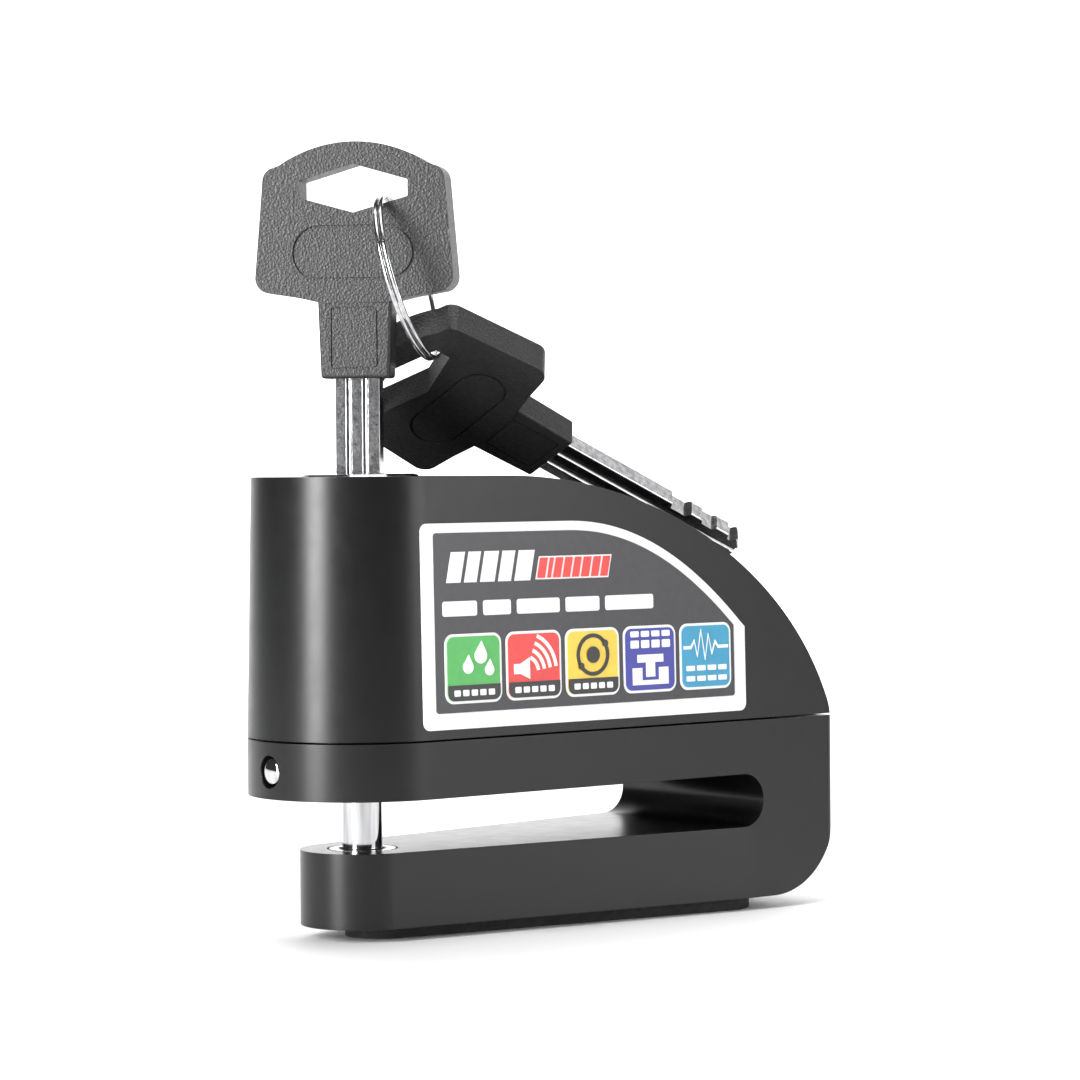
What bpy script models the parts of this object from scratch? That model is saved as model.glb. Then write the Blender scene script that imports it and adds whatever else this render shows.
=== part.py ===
"""A push-down disc brake lock with an alarm, its key in the lock and a spare key on a split ring.

The frame: Z runs up the locking pin's axis, X towards the rear of the body, Y across it.
The origin is under the locking pin, on the face that the lock stands on.
Sizes are in millimetres and are scaled to metres as each mesh is made.
"""

import math

import bmesh
import bpy
from mathutils import Matrix, Vector

MM = 0.001
GAP = 0.3
WELD = 1e-7

# The body, seen from the side and from above.
HALF_WIDTH = 16.9
REAR_X = 81.3
REAR_CORNER = 1.5
BASE_Z = 2.0
JAW_TOP_Z = 13.2
SLOT_ROOF_Z = 21.5
SEAM_Z = 30.0
COVER_TOP_Z = 68.5
BOTTOM_CORNER = 13.0
SLOT_END_X = 65.9
JAW_NOSE = 9.3
JAW_FLARE_END_X = 63.0
CURVE_START_X = 15.0
CURVE_CENTRE_Z = 20.3
CURVE_REACH = 67.2
CURVE_POWER = 1.96
WALL = 2.4
EDGE_ROUND = 1.2

# The lock cylinder and everything on the pin's axis.
BORE = 9.3
BARREL = 9.0
BARREL_LOW_Z = 38.0
BARREL_TOP_Z = 68.9
CORE = 6.0
CORE_LOW_Z = 45.6
PIN = 3.0
PIN_LOW_Z = 9.5

# The keys. In a key's own frame, S runs from the neck up the bow, U across it, N out of its face.
KEY_THICK = 5.0
NECK_LENGTH = 12.0
BLADE_LENGTH = 37.0
BLADE_WIDTH = 7.0
BLADE_THICK = 2.8
TANG = 7.5
KEY_TURN = math.radians(-49.6)
KEY_BOW_Z = 95.0
BOW_SIDE = 13.9
BOW_SHOULDER = 15.0
BOW_TOP = 23.0

# The split ring and the spare key that hangs on it.
VIEW_TURN = math.radians(-39.6)
RING_RADIUS = 12.5
RING_WIRE = 0.36
RING_SPREAD = 1.5
RING_ACROSS = 7.5
RING_Z = 98.0
RING_LEAN = 0.267
RING_SKEW = math.radians(10.7)
SPARE_BOW = Vector((25.77, 0.43, 77.64))
SPARE_HEADING = math.radians(-7.62)
SPARE_DIP = math.radians(25.55)
SPARE_ROLL = math.radians(32.51)

# The bushes, the retaining pin, the cover screws and the siren's sound holes.
GUIDE_BUSH = 5.0
JAW_BUSH = 5.0
JAW_BUSH_LOW_Z = 8.7
RETAINING_PIN = 2.0
RETAINING_Z = 25.5
SCREW_SHAFT = 1.25
SCREW_HEAD = 2.6
SCREW_HEAD_HEIGHT = 1.8
SCREW_TOP_Z = 38.0
SCREW_PLACES = [(13.5, -11.5), (13.5, 11.5), (71.5, -12.0), (71.5, 12.0)]
SOUND_HOLES = 5
SOUND_HOLE_X = 30.0
SOUND_HOLE_PITCH = 4.0

# The label on the near side.
LABEL_LEFT = -1.4
LABEL_RIGHT = 62.2
LABEL_LOW_Z = 31.5
LABEL_TOP_Z = 61.6
LABEL_CURVE_X = 26.5
LABEL_CORNER_Z = 44.5
LABEL_THICK = 0.3

# The electronics in the cover's bay.
BOARD_Z = 34.0
BOARD_TOP_Z = 35.2
SIREN_X = 34.0
SIREN = 12.0
CELL = 5.8
CELL_LENGTH = 5.4
CELLS = 3
CELL_X = 57.5
CELL_Z = 43.6
WIRE_X = 65.8
BAY_FRONT_X = 19.0

# The discs in the lock's core.
DISCS = 6
DISC_LOW_Z = 48.0
DISC_PITCH = 2.9

# Each cut in a blade's edges: its distance from the tip, its length and its depth.
BLADE_CUTS = [(2.0, 1.2, 0.9), (6.2, 2.6, 0.7), (11.6, 3.4, 1.0)]

# Each look: its name, colour, roughness and metal.
BLACK_PAINT = ("black_paint", (0.016, 0.016, 0.017), 0.42, 0.3)
CHROME = ("chrome", (0.80, 0.80, 0.82), 0.12, 1.0)
STEEL = ("steel", (0.56, 0.56, 0.58), 0.30, 1.0)
BRASS = ("brass", (0.72, 0.53, 0.22), 0.32, 1.0)
KEY_PLASTIC = ("key_plastic", (0.020, 0.020, 0.021), 0.62, 0.0)
RUBBER = ("rubber", (0.010, 0.010, 0.010), 0.85, 0.0)
LABEL = ("label", (0.75, 0.75, 0.74), 0.40, 0.0)
BOARD = ("board", (0.02, 0.16, 0.06), 0.55, 0.0)
HOLDER = ("holder", (0.05, 0.05, 0.055), 0.60, 0.0)
RED_WIRE = ("red_wire", (0.55, 0.02, 0.02), 0.50, 0.0)
BLACK_WIRE = ("black_wire", (0.012, 0.012, 0.012), 0.50, 0.0)

# Where an outline's plane and its thickness lie in the world.
FLAT = Matrix.Identity(4)
UPRIGHT = Matrix.Rotation(math.radians(90), 4, "X")


def clear_scene():
    for obj in list(bpy.data.objects):
        bpy.data.objects.remove(obj, do_unlink=True)
    for mesh in list(bpy.data.meshes):
        bpy.data.meshes.remove(mesh)


def new_collection(name):
    made = bpy.data.collections.new(name)
    bpy.context.scene.collection.children.link(made)
    return made


clear_scene()
PARTS = new_collection("disc_brake_lock")
CUTTERS = new_collection("cutters")


def material(look):
    name, colour, roughness, metallic = look
    found = bpy.data.materials.get(name)
    if found:
        return found
    made = bpy.data.materials.new(name)
    made.use_nodes = True
    shader = made.node_tree.nodes["Principled BSDF"]
    shader.inputs["Base Color"].default_value = (*colour, 1.0)
    shader.inputs["Roughness"].default_value = roughness
    shader.inputs["Metallic"].default_value = metallic
    made.diffuse_color = (*colour, 1.0)
    return made


def settle(source, name):
    """A source object's evaluated shape as a welded mesh object in world space, its faces out."""
    graph = bpy.context.evaluated_depsgraph_get()
    mesh = bpy.data.meshes.new_from_object(source.evaluated_get(graph))
    mesh.transform(source.matrix_world)
    bpy.data.objects.remove(source, do_unlink=True)
    bm = bmesh.new()
    bm.from_mesh(mesh)
    bmesh.ops.remove_doubles(bm, verts=bm.verts, dist=WELD)
    bmesh.ops.recalc_face_normals(bm, faces=bm.faces)
    bm.to_mesh(mesh)
    bm.free()
    obj = bpy.data.objects.new(name, mesh)
    PARTS.objects.link(obj)
    return obj


def slab(name, outlines, low, high, plane=FLAT):
    """A flat outline, with any further outlines as holes in it, between two heights along its normal."""
    curve = bpy.data.curves.new(name, "CURVE")
    curve.dimensions = "2D"
    curve.fill_mode = "BOTH"
    curve.extrude = (high - low) / 2 * MM
    for outline in outlines:
        spline = curve.splines.new("POLY")
        spline.points.add(len(outline) - 1)
        for point, (x, y) in zip(spline.points, outline):
            point.co = (x * MM, y * MM, 0, 1)
        spline.use_cyclic_u = True
    source = bpy.data.objects.new(name, curve)
    source.matrix_world = plane @ Matrix.Translation((0, 0, (low + high) / 2 * MM))
    PARTS.objects.link(source)
    bpy.context.view_layer.update()
    return settle(source, name)


def side_slab(name, outlines, half=HALF_WIDTH + 5):
    """An outline in X and Z, as thick as twice half, centred on Y = 0."""
    return slab(name, outlines, -half, half, UPRIGHT)


def turned(name, profile, steps=32):
    """A closed profile of radius and height, turned about Z. Points on the axis close the solid."""
    mesh = bpy.data.meshes.new(name)
    count = len(profile)
    closed = profile[0][0] > 0 or profile[-1][0] > 0
    edges = [(i, (i + 1) % count) for i in range(count if closed else count - 1)]
    mesh.from_pydata([(r * MM, 0, z * MM) for r, z in profile], edges, [])
    source = bpy.data.objects.new(name, mesh)
    PARTS.objects.link(source)
    screw = source.modifiers.new("turn", "SCREW")
    screw.steps = screw.render_steps = steps
    screw.use_merge_vertices = True
    screw.merge_threshold = WELD
    bpy.context.view_layer.update()
    return settle(source, name)


def tube(name, points, radius):
    """A round wire through the points, in flat triangles however it twists."""
    curve = bpy.data.curves.new(name, "CURVE")
    curve.dimensions = "3D"
    curve.bevel_depth = radius * MM
    curve.bevel_resolution = 2
    curve.use_fill_caps = True
    spline = curve.splines.new("POLY")
    spline.points.add(len(points) - 1)
    for point, place in zip(spline.points, points):
        point.co = (*(Vector(place) * MM), 1)
    source = bpy.data.objects.new(name, curve)
    PARTS.objects.link(source)
    bpy.context.view_layer.update()
    wire = settle(source, name)
    bm = bmesh.new()
    bm.from_mesh(wire.data)
    bmesh.ops.triangulate(bm, faces=bm.faces)
    bm.to_mesh(wire.data)
    bm.free()
    return wire


def block(name, low, high):
    """A box between two corners."""
    bm = bmesh.new()
    bmesh.ops.create_cube(bm, size=1)
    low, high = Vector(low), Vector(high)
    for vert in bm.verts:
        vert.co = Vector(a + (b - a) * (c + 0.5) for a, b, c in zip(low, high, vert.co)) * MM
    mesh = bpy.data.meshes.new(name)
    bm.to_mesh(mesh)
    bm.free()
    obj = bpy.data.objects.new(name, mesh)
    PARTS.objects.link(obj)
    return obj


def rod(name, radius, low, high, steps=24):
    """An upright cylinder on the Z axis."""
    return turned(name, [(0, high), (radius, high), (radius, low), (0, low)], steps)


def moved(obj, matrix):
    """The same object, its mesh moved by a matrix in millimetres."""
    scaled = matrix.copy()
    scaled.translation = matrix.translation * MM
    obj.data.transform(scaled)
    return obj


def at(x, y, z=0.0):
    return Matrix.Translation((x, y, z))


def along_x(x, y, z):
    """Turns an upright piece to lie along X, with its foot at a point."""
    return at(x, y, z) @ Matrix.Rotation(math.radians(90), 4, "Y")


def along_y(x, y, z):
    return at(x, y, z) @ Matrix.Rotation(math.radians(-90), 4, "X")


def outward_faces(obj):
    """Turns a mesh's faces out again, for a box given with its corners crossed."""
    bm = bmesh.new()
    bm.from_mesh(obj.data)
    bmesh.ops.recalc_face_normals(bm, faces=bm.faces)
    bm.to_mesh(obj.data)
    bm.free()


def combine(obj, other, operation):
    other.hide_render = True
    other.display_type = "WIRE"
    if other.name in PARTS.objects:
        PARTS.objects.unlink(other)
        CUTTERS.objects.link(other)
    modifier = obj.modifiers.new(operation.lower(), "BOOLEAN")
    modifier.operation = operation
    modifier.object = other
    return obj


def cut(obj, *cutters):
    for cutter in cutters:
        combine(obj, cutter, "DIFFERENCE")
    return obj


def join(obj, *others):
    for other in others:
        combine(obj, other, "UNION")
    return obj


def part(obj, look, joint_empty=None):
    """Gives a finished piece its material and, on a moving body, hangs it on its joint's empty."""
    obj.data.materials.clear()
    obj.data.materials.append(material(look))
    obj.data.shade_smooth()
    obj.data.set_sharp_from_angle(angle=math.radians(35))
    if joint_empty:
        obj.data.transform(Matrix.Translation(-joint_empty.matrix_world.translation))
        obj.parent = joint_empty
        for modifier in obj.modifiers:
            cutter = modifier.object
            cutter.data.transform(Matrix.Translation(-joint_empty.matrix_world.translation))
            cutter.parent = joint_empty
    return obj


def joint(name, place, parent=None):
    """An empty on a joint's axis."""
    empty = bpy.data.objects.new(name, None)
    empty.empty_display_size = 5 * MM
    PARTS.objects.link(empty)
    empty.parent = parent
    start = parent.matrix_world.translation if parent else Vector()
    empty.location = Vector(place) * MM - start
    bpy.context.view_layer.update()
    return empty


def arc(centre, radius, start, end, steps):
    """Points on a circle between two angles in degrees, both ends included."""
    angles = [math.radians(start + (end - start) * i / steps) for i in range(steps + 1)]
    return [(centre[0] + radius * math.cos(a), centre[1] + radius * math.sin(a)) for a in angles]


def rectangle(x0, y0, x1, y1):
    return [(x0, y0), (x1, y0), (x1, y1), (x0, y1)]


def body_plan(inset=0.0):
    """The body from above: a half round nose on the pin's axis, flat sides and a flat rear."""
    half, rear, corner = HALF_WIDTH - inset, REAR_X - inset, max(REAR_CORNER - inset, 0.3)
    return (
        arc((0, 0), half, 90, 270, 24)
        + arc((rear - corner, -half + corner), corner, -90, 0, 3)
        + arc((rear - corner, half - corner), corner, 0, 90, 3)
    )


def jaw_plan():
    """The jaw from above: a narrow round nose that flares to the body's full width."""
    flare = math.degrees(math.atan2(HALF_WIDTH - JAW_NOSE, JAW_FLARE_END_X))
    nose = arc((0, 0), JAW_NOSE, 90 + flare, 270 - flare, 16)
    wide = HALF_WIDTH + 1
    return nose + [
        (JAW_FLARE_END_X, -HALF_WIDTH),
        (JAW_FLARE_END_X, -wide),
        (REAR_X + 1, -wide),
        (REAR_X + 1, wide),
        (JAW_FLARE_END_X, wide),
        (JAW_FLARE_END_X, HALF_WIDTH),
    ]


def top_curve(inset=0.0, steps=16):
    """The cover's back from the side: nearly a quarter ellipse, from its flat top down to the seam."""
    reach = CURVE_REACH - inset
    rise = COVER_TOP_Z - CURVE_CENTRE_Z - inset
    bend = 2 / CURVE_POWER
    lowest = math.asin(((SEAM_Z - CURVE_CENTRE_Z) / rise) ** (1 / bend))
    angles = [lowest * i / steps + math.pi / 2 * (1 - i / steps) for i in range(steps + 1)]
    return [
        (
            CURVE_START_X + reach * max(math.cos(a), 0) ** bend,
            CURVE_CENTRE_Z + rise * math.sin(a) ** bend,
        )
        for a in angles
    ]


def rounded_slot_outline():
    """The brake disc's slot from the side, open at the nose and round at its closed end."""
    radius = (SLOT_ROOF_Z - JAW_TOP_Z) / 2
    middle = JAW_TOP_Z + radius
    end = arc((SLOT_END_X - radius, middle), radius, -90, 90, 12)
    return [(-30, JAW_TOP_Z)] + end + [(-30, SLOT_ROOF_Z)]


def lower_body():
    """The casting below the seam: the arm over the slot, the jaw under it and the rear column."""
    corner = arc((REAR_X - BOTTOM_CORNER, BASE_Z + BOTTOM_CORNER), BOTTOM_CORNER, -90, 0, 8)
    top = SEAM_Z - GAP / 2
    profile = [(-30, top), (-30, BASE_Z)] + corner + [(REAR_X, top)]
    casting = slab("lower_body", [body_plan()], BASE_Z - 1, SEAM_Z + 1)
    combine(casting, side_slab("lower_profile", [profile]), "INTERSECT")
    middle = (JAW_TOP_Z + SLOT_ROOF_Z) / 2
    limits = slab("jaw_limits", [jaw_plan()], BASE_Z - 2, middle)
    join(limits, block("above_jaw", (-30, -20, middle - 0.5), (REAR_X + 2, 20, SEAM_Z + 2)))
    combine(casting, limits, "INTERSECT")
    cut(
        casting,
        side_slab("disc_slot", [rounded_slot_outline()]),
        rod("arm_bore", GUIDE_BUSH + GAP, SLOT_ROOF_Z - 1, SEAM_Z + 1),
        rod("jaw_socket", JAW_BUSH + GAP, JAW_BUSH_LOW_Z - GAP, JAW_TOP_Z + 1),
        moved(rod("retaining_hole", RETAINING_PIN + GAP, -20, -4), along_x(0, 0, RETAINING_Z)),
        slab("gasket_groove", [body_plan(1.6), body_plan(3.4)], SEAM_Z - 1.6, SEAM_Z + 1),
    )
    for number, (x, y) in enumerate(SCREW_PLACES):
        head_z = screw_head_z(x)
        head_top = head_z + SCREW_HEAD_HEIGHT + GAP
        mouth = SLOT_ROOF_Z - 1 if x < SLOT_END_X else 0
        shaft = rod(f"screw_clearance_{number}", SCREW_SHAFT + GAP, head_z - 1, SEAM_Z + 1)
        head = rod(f"screw_recess_{number}", SCREW_HEAD + GAP, mouth, head_top)
        cut(casting, moved(shaft, at(x, y)), moved(head, at(x, y)))
    for number in range(SOUND_HOLES):
        hole = rod(f"sound_hole_{number}", 1.0, SLOT_ROOF_Z - 1, SEAM_Z + 1, 12)
        cut(casting, moved(hole, at(SOUND_HOLE_X + SOUND_HOLE_PITCH * number, 0)))
    part(casting, BLACK_PAINT)


# The pieces set into the casting.


def screw_head_z(x):
    """The underside of a screw's head: in the slot's roof in front, in the casting's base behind."""
    return SLOT_ROOF_Z + 0.6 if x < SLOT_END_X else BASE_Z + 3.4


def cover_screws():
    for number, (x, y) in enumerate(SCREW_PLACES, 1):
        low = screw_head_z(x)
        shoulder = low + SCREW_HEAD_HEIGHT
        profile = [
            (0, SCREW_TOP_Z),
            (SCREW_SHAFT - 0.4, SCREW_TOP_Z),
            (SCREW_SHAFT, SCREW_TOP_Z - 0.6),
            (SCREW_SHAFT, shoulder),
            (SCREW_HEAD, shoulder),
            (SCREW_HEAD, low),
            (0, low),
        ]
        screw = turned(f"cover_screw_{number}", profile, 20)
        socket = rod(f"screw_socket_{number}", 1.2, low - 1, low + 1.1, 6)
        cut(moved(screw, at(x, y)), moved(socket, at(x, y)))
        part(screw, STEEL)


def guide_bush():
    """The steel bush in the arm that the locking pin slides in."""
    inner = PIN + GAP
    profile = [(inner, SEAM_Z), (GUIDE_BUSH, SEAM_Z), (GUIDE_BUSH, SLOT_ROOF_Z), (inner, SLOT_ROOF_Z)]
    part(turned("guide_bush", profile), STEEL)


def jaw_bush():
    """The hard steel cup in the jaw that takes the tip of the locking pin."""
    inner = PIN + GAP
    profile = [
        (0, JAW_BUSH_LOW_Z + 0.5),
        (inner, JAW_BUSH_LOW_Z + 0.5),
        (inner, JAW_TOP_Z - 0.5),
        (inner + 0.5, JAW_TOP_Z),
        (JAW_BUSH, JAW_TOP_Z),
        (JAW_BUSH, JAW_BUSH_LOW_Z),
        (0, JAW_BUSH_LOW_Z),
    ]
    part(turned("jaw_bush", profile), STEEL)


def retaining_pin():
    """The bright dowel through the nose that holds the guide bush in the arm."""
    profile = [
        (0, -GUIDE_BUSH - GAP),
        (RETAINING_PIN, -GUIDE_BUSH - GAP),
        (RETAINING_PIN, 0.5 - HALF_WIDTH),
        (RETAINING_PIN - 0.5, -HALF_WIDTH),
        (0, -HALF_WIDTH),
    ]
    part(moved(turned("retaining_pin", profile, 20), along_x(0, 0, RETAINING_Z)), CHROME)


def base_pad():
    """The thin wedge-shaped rubber foot under the jaw."""
    outline = (
        arc((3.5, 0), 5.5, 105, 255, 8)
        + arc((60, -5), 10, -75, 0, 6)
        + arc((60, 5), 10, 0, 75, 6)
    )
    part(slab("base_pad", [outline], 0, BASE_Z - GAP), RUBBER)


def gasket():
    """The seal between the casting and the cover, in its groove."""
    part(slab("cover_gasket", [body_plan(2.0), body_plan(3.0)], SEAM_Z - 1.3, SEAM_Z - 0.2), RUBBER)


# The label on the near side of the cover.


def label_outline(grow=0.0):
    """The label's rim: square at the front, its top following the cover's curve down to the rear."""
    left, right = LABEL_LEFT - grow, LABEL_RIGHT + grow
    low, top = LABEL_LOW_Z - grow, LABEL_TOP_Z + grow
    drop = LABEL_TOP_Z - LABEL_CORNER_Z
    reach = LABEL_RIGHT - LABEL_CURVE_X
    bend = []
    for i in range(1, 12):
        t = i / 12
        bend.append((LABEL_CURVE_X + reach * t, LABEL_TOP_Z + grow - drop * t**2.1))
    bend.reverse()
    return [(left, low), (right, low), (right, LABEL_CORNER_Z + grow)] + bend + [
        (LABEL_CURVE_X, top),
        (left, top),
    ]


def label_plate():
    plate = slab(
        "label_plate",
        [label_outline()],
        HALF_WIDTH - LABEL_THICK + 0.05,
        HALF_WIDTH + 0.05,
        UPRIGHT,
    )
    part(plate, LABEL)


def upper_cover():
    """The cast cover: a shell over the electronics, with the lock's bore in its solid nose."""
    low = SEAM_Z - 5
    profile = [(-30, COVER_TOP_Z), (-30, low), (REAR_X, low)] + top_curve()[::-1]
    cover = slab("upper_cover", [body_plan()], low + 1, COVER_TOP_Z + 1)
    combine(cover, side_slab("cover_profile", [profile]), "INTERSECT")
    rounding = cover.modifiers.new("edge_round", "BEVEL")
    rounding.width = EDGE_ROUND * MM
    rounding.segments = 2
    rounding.limit_method = "ANGLE"
    rounding.angle_limit = math.radians(50)
    bay_plan = [
        (BAY_FRONT_X, -HALF_WIDTH + WALL),
        (REAR_X - WALL, -HALF_WIDTH + WALL),
        (REAR_X - WALL, HALF_WIDTH - WALL),
        (BAY_FRONT_X, HALF_WIDTH - WALL),
    ]
    bay_profile = [(0, low), (REAR_X, low)] + top_curve(WALL)[::-1] + [(0, COVER_TOP_Z - WALL)]
    bay = slab("electronics_bay", [bay_plan], low - 1, COVER_TOP_Z)
    combine(bay, side_slab("bay_profile", [bay_profile]), "INTERSECT")
    for number, (x, y) in enumerate(SCREW_PLACES):
        if x > SLOT_END_X:
            side = 1 if y > 0 else -1
            boss = block(
                f"screw_boss_{number}",
                (x - 3, side * (abs(y) - 3), low - 2),
                (x + 8, side * HALF_WIDTH, SCREW_TOP_Z + 2),
            )
            for vert in boss.data.vertices:
                vert.co.y = side * abs(vert.co.y)
            outward_faces(boss)
            cut(bay, boss)
    cut(
        cover,
        block("below_seam", (-30, -30, low - 2), (REAR_X + 5, 30, SEAM_Z + GAP / 2)),
        bay,
        rod("lock_bore", BORE, SEAM_Z - 1, COVER_TOP_Z + 2, 40),
        block("latch_groove", (8, -2.6, 39.4), (12, 2.6, 57.0)),
        block("switch_pocket", (6, -3.3, SEAM_Z - 1), (BAY_FRONT_X + 1, 3.3, 36.4)),
        slab(
            "label_recess",
            [label_outline(GAP)],
            HALF_WIDTH - LABEL_THICK - GAP,
            HALF_WIDTH + 3,
            UPRIGHT,
        ),
    )
    for number, (x, y) in enumerate(SCREW_PLACES):
        hole = rod(f"screw_pilot_{number}", SCREW_SHAFT + GAP, SEAM_Z - 1, SCREW_TOP_Z + 0.6)
        cut(cover, moved(hole, at(x, y)))
    part(cover, BLACK_PAINT)


def circuit_board():
    board = slab("circuit_board", [rectangle(20, -13.5, 68, 13.5)], BOARD_Z, BOARD_TOP_Z)
    part(board, BOARD)


def siren():
    """The siren: a horn cup on the board, open at the top, over a thin sounding disc."""
    low, high = BOARD_TOP_Z + GAP, BOARD_TOP_Z + 15
    profile = [
        (SIREN - 1.5, high),
        (SIREN, high),
        (SIREN, low),
        (0, low),
        (0, low + 1.2),
        (SIREN - 1.5, low + 1.2),
    ]
    cup = turned("siren_housing", profile, 36)
    part(moved(cup, at(SIREN_X, 0)), HOLDER)
    disc = rod("siren_disc", SIREN - 1.8, low + 1.5, low + 2.1, 32)
    part(moved(disc, at(SIREN_X, 0)), BRASS)


def batteries():
    """Three button cells in line across the body, in a cradle with a contact at each end."""
    half = CELLS * (CELL_LENGTH + GAP) / 2
    for number in range(CELLS):
        start = -half + number * (CELL_LENGTH + GAP)
        cell = turned(
            f"battery_cell_{number + 1}",
            [(0, CELL_LENGTH), (5.2, CELL_LENGTH), (5.5, 4.6), (CELL, 4.4), (CELL, 0), (0, 0)],
            28,
        )
        part(moved(cell, along_y(CELL_X, start, CELL_Z)), STEEL)
    low = BOARD_TOP_Z + GAP
    cradle = block(
        "battery_holder", (CELL_X - 7.2, -half - 3.6, low), (CELL_X + 7.2, half + 2.0, CELL_Z)
    )
    well = rod("cell_well", CELL + GAP, -half - 2.6, half + 1.0, 28)
    cut(cradle, moved(well, along_y(CELL_X, 0, CELL_Z)))
    part(cradle, HOLDER)
    plate_low = (CELL_X - 3, half + 0.05, CELL_Z - 4)
    plate_high = (CELL_X + 3, half + 0.65, CELL_Z + 5)
    plate = block("contact_plate", plate_low, plate_high)
    part(plate, BRASS)
    turns = [
        (
            CELL_X + 2.2 * math.cos(2 * math.pi * i / 12),
            -half - 0.6 - 1.6 * i / 30,
            CELL_Z + 2.2 * math.sin(2 * math.pi * i / 12),
        )
        for i in range(31)
    ]
    part(tube("battery_spring", turns, 0.2), STEEL)


def small_electronics():
    """The movement sensor, the plunger switch and the battery's two wires."""
    profile = [(0, 44), (1.8, 44), (2.0, 43.6), (2.0, BOARD_TOP_Z + GAP), (0, BOARD_TOP_Z + GAP)]
    part(moved(turned("movement_sensor", profile, 20), at(24, 9.8)), CHROME)
    switch = block("switch_body", (6.9, -3, SEAM_Z + 0.6), (13, 3, 35.4))
    part(switch, HOLDER)
    for name, side, look in (("wire_red", 1, RED_WIRE), ("wire_black", -1, BLACK_WIRE)):
        route = [
            (WIRE_X, 3 * side, CELL_Z - 1),
            (WIRE_X + 0.4, 4 * side, CELL_Z - 3),
            (WIRE_X + 0.2, 6 * side, BOARD_TOP_Z + 3),
            (WIRE_X, 8 * side, BOARD_TOP_Z + 1.2),
            (WIRE_X, 11.5 * side, BOARD_TOP_Z + 0.9),
        ]
        part(tube(name, route, 0.5), look)


def coil(centre, radius, wire, low, high, turns, per_turn=12):
    """The points of an upright spring that fills the space between two heights."""
    count = turns * per_turn
    rise = (high - low) - 2 * wire
    return [
        (
            centre[0] + radius * math.cos(2 * math.pi * i / per_turn),
            centre[1] + radius * math.sin(2 * math.pi * i / per_turn),
            low + wire + rise * i / count,
        )
        for i in range(count + 1)
    ]


def plunger(empty):
    """The lock cylinder with the locking pin below it, and the return spring under them."""
    face = BARREL_TOP_Z
    profile = [
        (CORE + GAP, face - 0.3),
        (CORE + GAP + 0.3, face),
        (BARREL - 0.5, face),
        (BARREL, face - 0.5),
        (BARREL, 66.3),
        (7.75, 66.3),
        (7.75, 64.7),
        (BARREL, 64.7),
        (BARREL, BARREL_LOW_Z),
        (0, BARREL_LOW_Z),
        (0, 43.2),
        (CORE + GAP, 43.2),
    ]
    barrel = turned("lock_cylinder", profile, 40)
    cut(
        barrel,
        rod("pin_socket", PIN + GAP, BARREL_LOW_Z - 1, 39.8),
        block("latch_channel", (-5.4, -2.3, 40.3), (10, 2.3, 44)),
        moved(rod("cross_hole", 1.0, -12, 12, 12), along_y(0, 0, 38.9)),
    )
    part(barrel, CHROME, empty)
    pin_profile = [(0, 39.6), (PIN, 39.6), (PIN, PIN_LOW_Z + 0.8), (PIN - 0.8, PIN_LOW_Z), (0, PIN_LOW_Z)]
    pin = turned("locking_pin", pin_profile, 32)
    cut(pin, moved(rod("pin_cross_hole", 1.0, -12, 12, 12), along_y(0, 0, 38.9)))
    part(pin, CHROME, empty)
    part(moved(rod("cross_pin", 0.68, -8.6, 8.6, 12), along_y(0, 0, 38.9)), STEEL, empty)
    seal = arc((8.5, 65.5), 0.55, 315, 0, 7)
    part(turned("cylinder_seal", seal, 36), RUBBER, empty)
    spring = tube("plunger_spring", coil((0, 0), 5.4, 0.5, SEAM_Z + GAP, BARREL_LOW_Z - GAP, 4), 0.5)
    part(spring, STEEL)


def turned_key_frame():
    """The frame of the key in the lock: S up, U across the key, N out of its face."""
    across = Vector((math.cos(KEY_TURN), math.sin(KEY_TURN), 0))
    up = Vector((0, 0, 1))
    return key_frame(up, across, Vector((0, 0, KEY_BOW_Z)))


def key_frame(up, across, place):
    face = across.cross(up)
    matrix = Matrix((across, up, face)).transposed().to_4x4()
    matrix.translation = place
    return matrix


def lock_core(empty):
    """The core that the key turns: a drum with a slotted face, the discs in it, a bar and a tail."""
    inner = 5.0
    face_low = BARREL_TOP_Z - 2.6
    profile = [
        (0, BARREL_TOP_Z),
        (CORE, BARREL_TOP_Z),
        (CORE, CORE_LOW_Z),
        (inner, CORE_LOW_Z),
        (inner, face_low),
        (0, face_low),
    ]
    turn = Matrix.Rotation(KEY_TURN, 4, "Z")
    half_u, half_n = BLADE_WIDTH / 2 + GAP, BLADE_THICK / 2 + GAP
    drum = turned("lock_core", profile, 32)
    cut(
        drum,
        moved(block("keyway", (-half_u, -half_n, 60), (half_u, half_n, 72)), turn),
        moved(block("bar_slot", (4, -0.8, 47.5), (7, 0.8, 65.5)), turn),
    )
    part(drum, STEEL, empty)
    part(moved(block("side_bar", (5.0, -0.5, 47.9), (5.85, 0.5, 65.1)), turn), STEEL, empty)
    for number in range(DISCS):
        low = DISC_LOW_Z + DISC_PITCH * number
        disc = rod(f"detainer_disc_{number + 1}", inner - GAP, low, low + DISC_PITCH - 0.5, 28)
        slot = block(f"disc_slot_{number + 1}", (-half_u, -half_n, low - 1), (half_u, half_n, low + 4))
        cut(disc, moved(slot, turn))
        part(disc, BRASS, empty)
    part(rod("core_tail", CORE, CORE_LOW_Z - 1.9, CORE_LOW_Z - GAP, 28), STEEL, empty)


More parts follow.
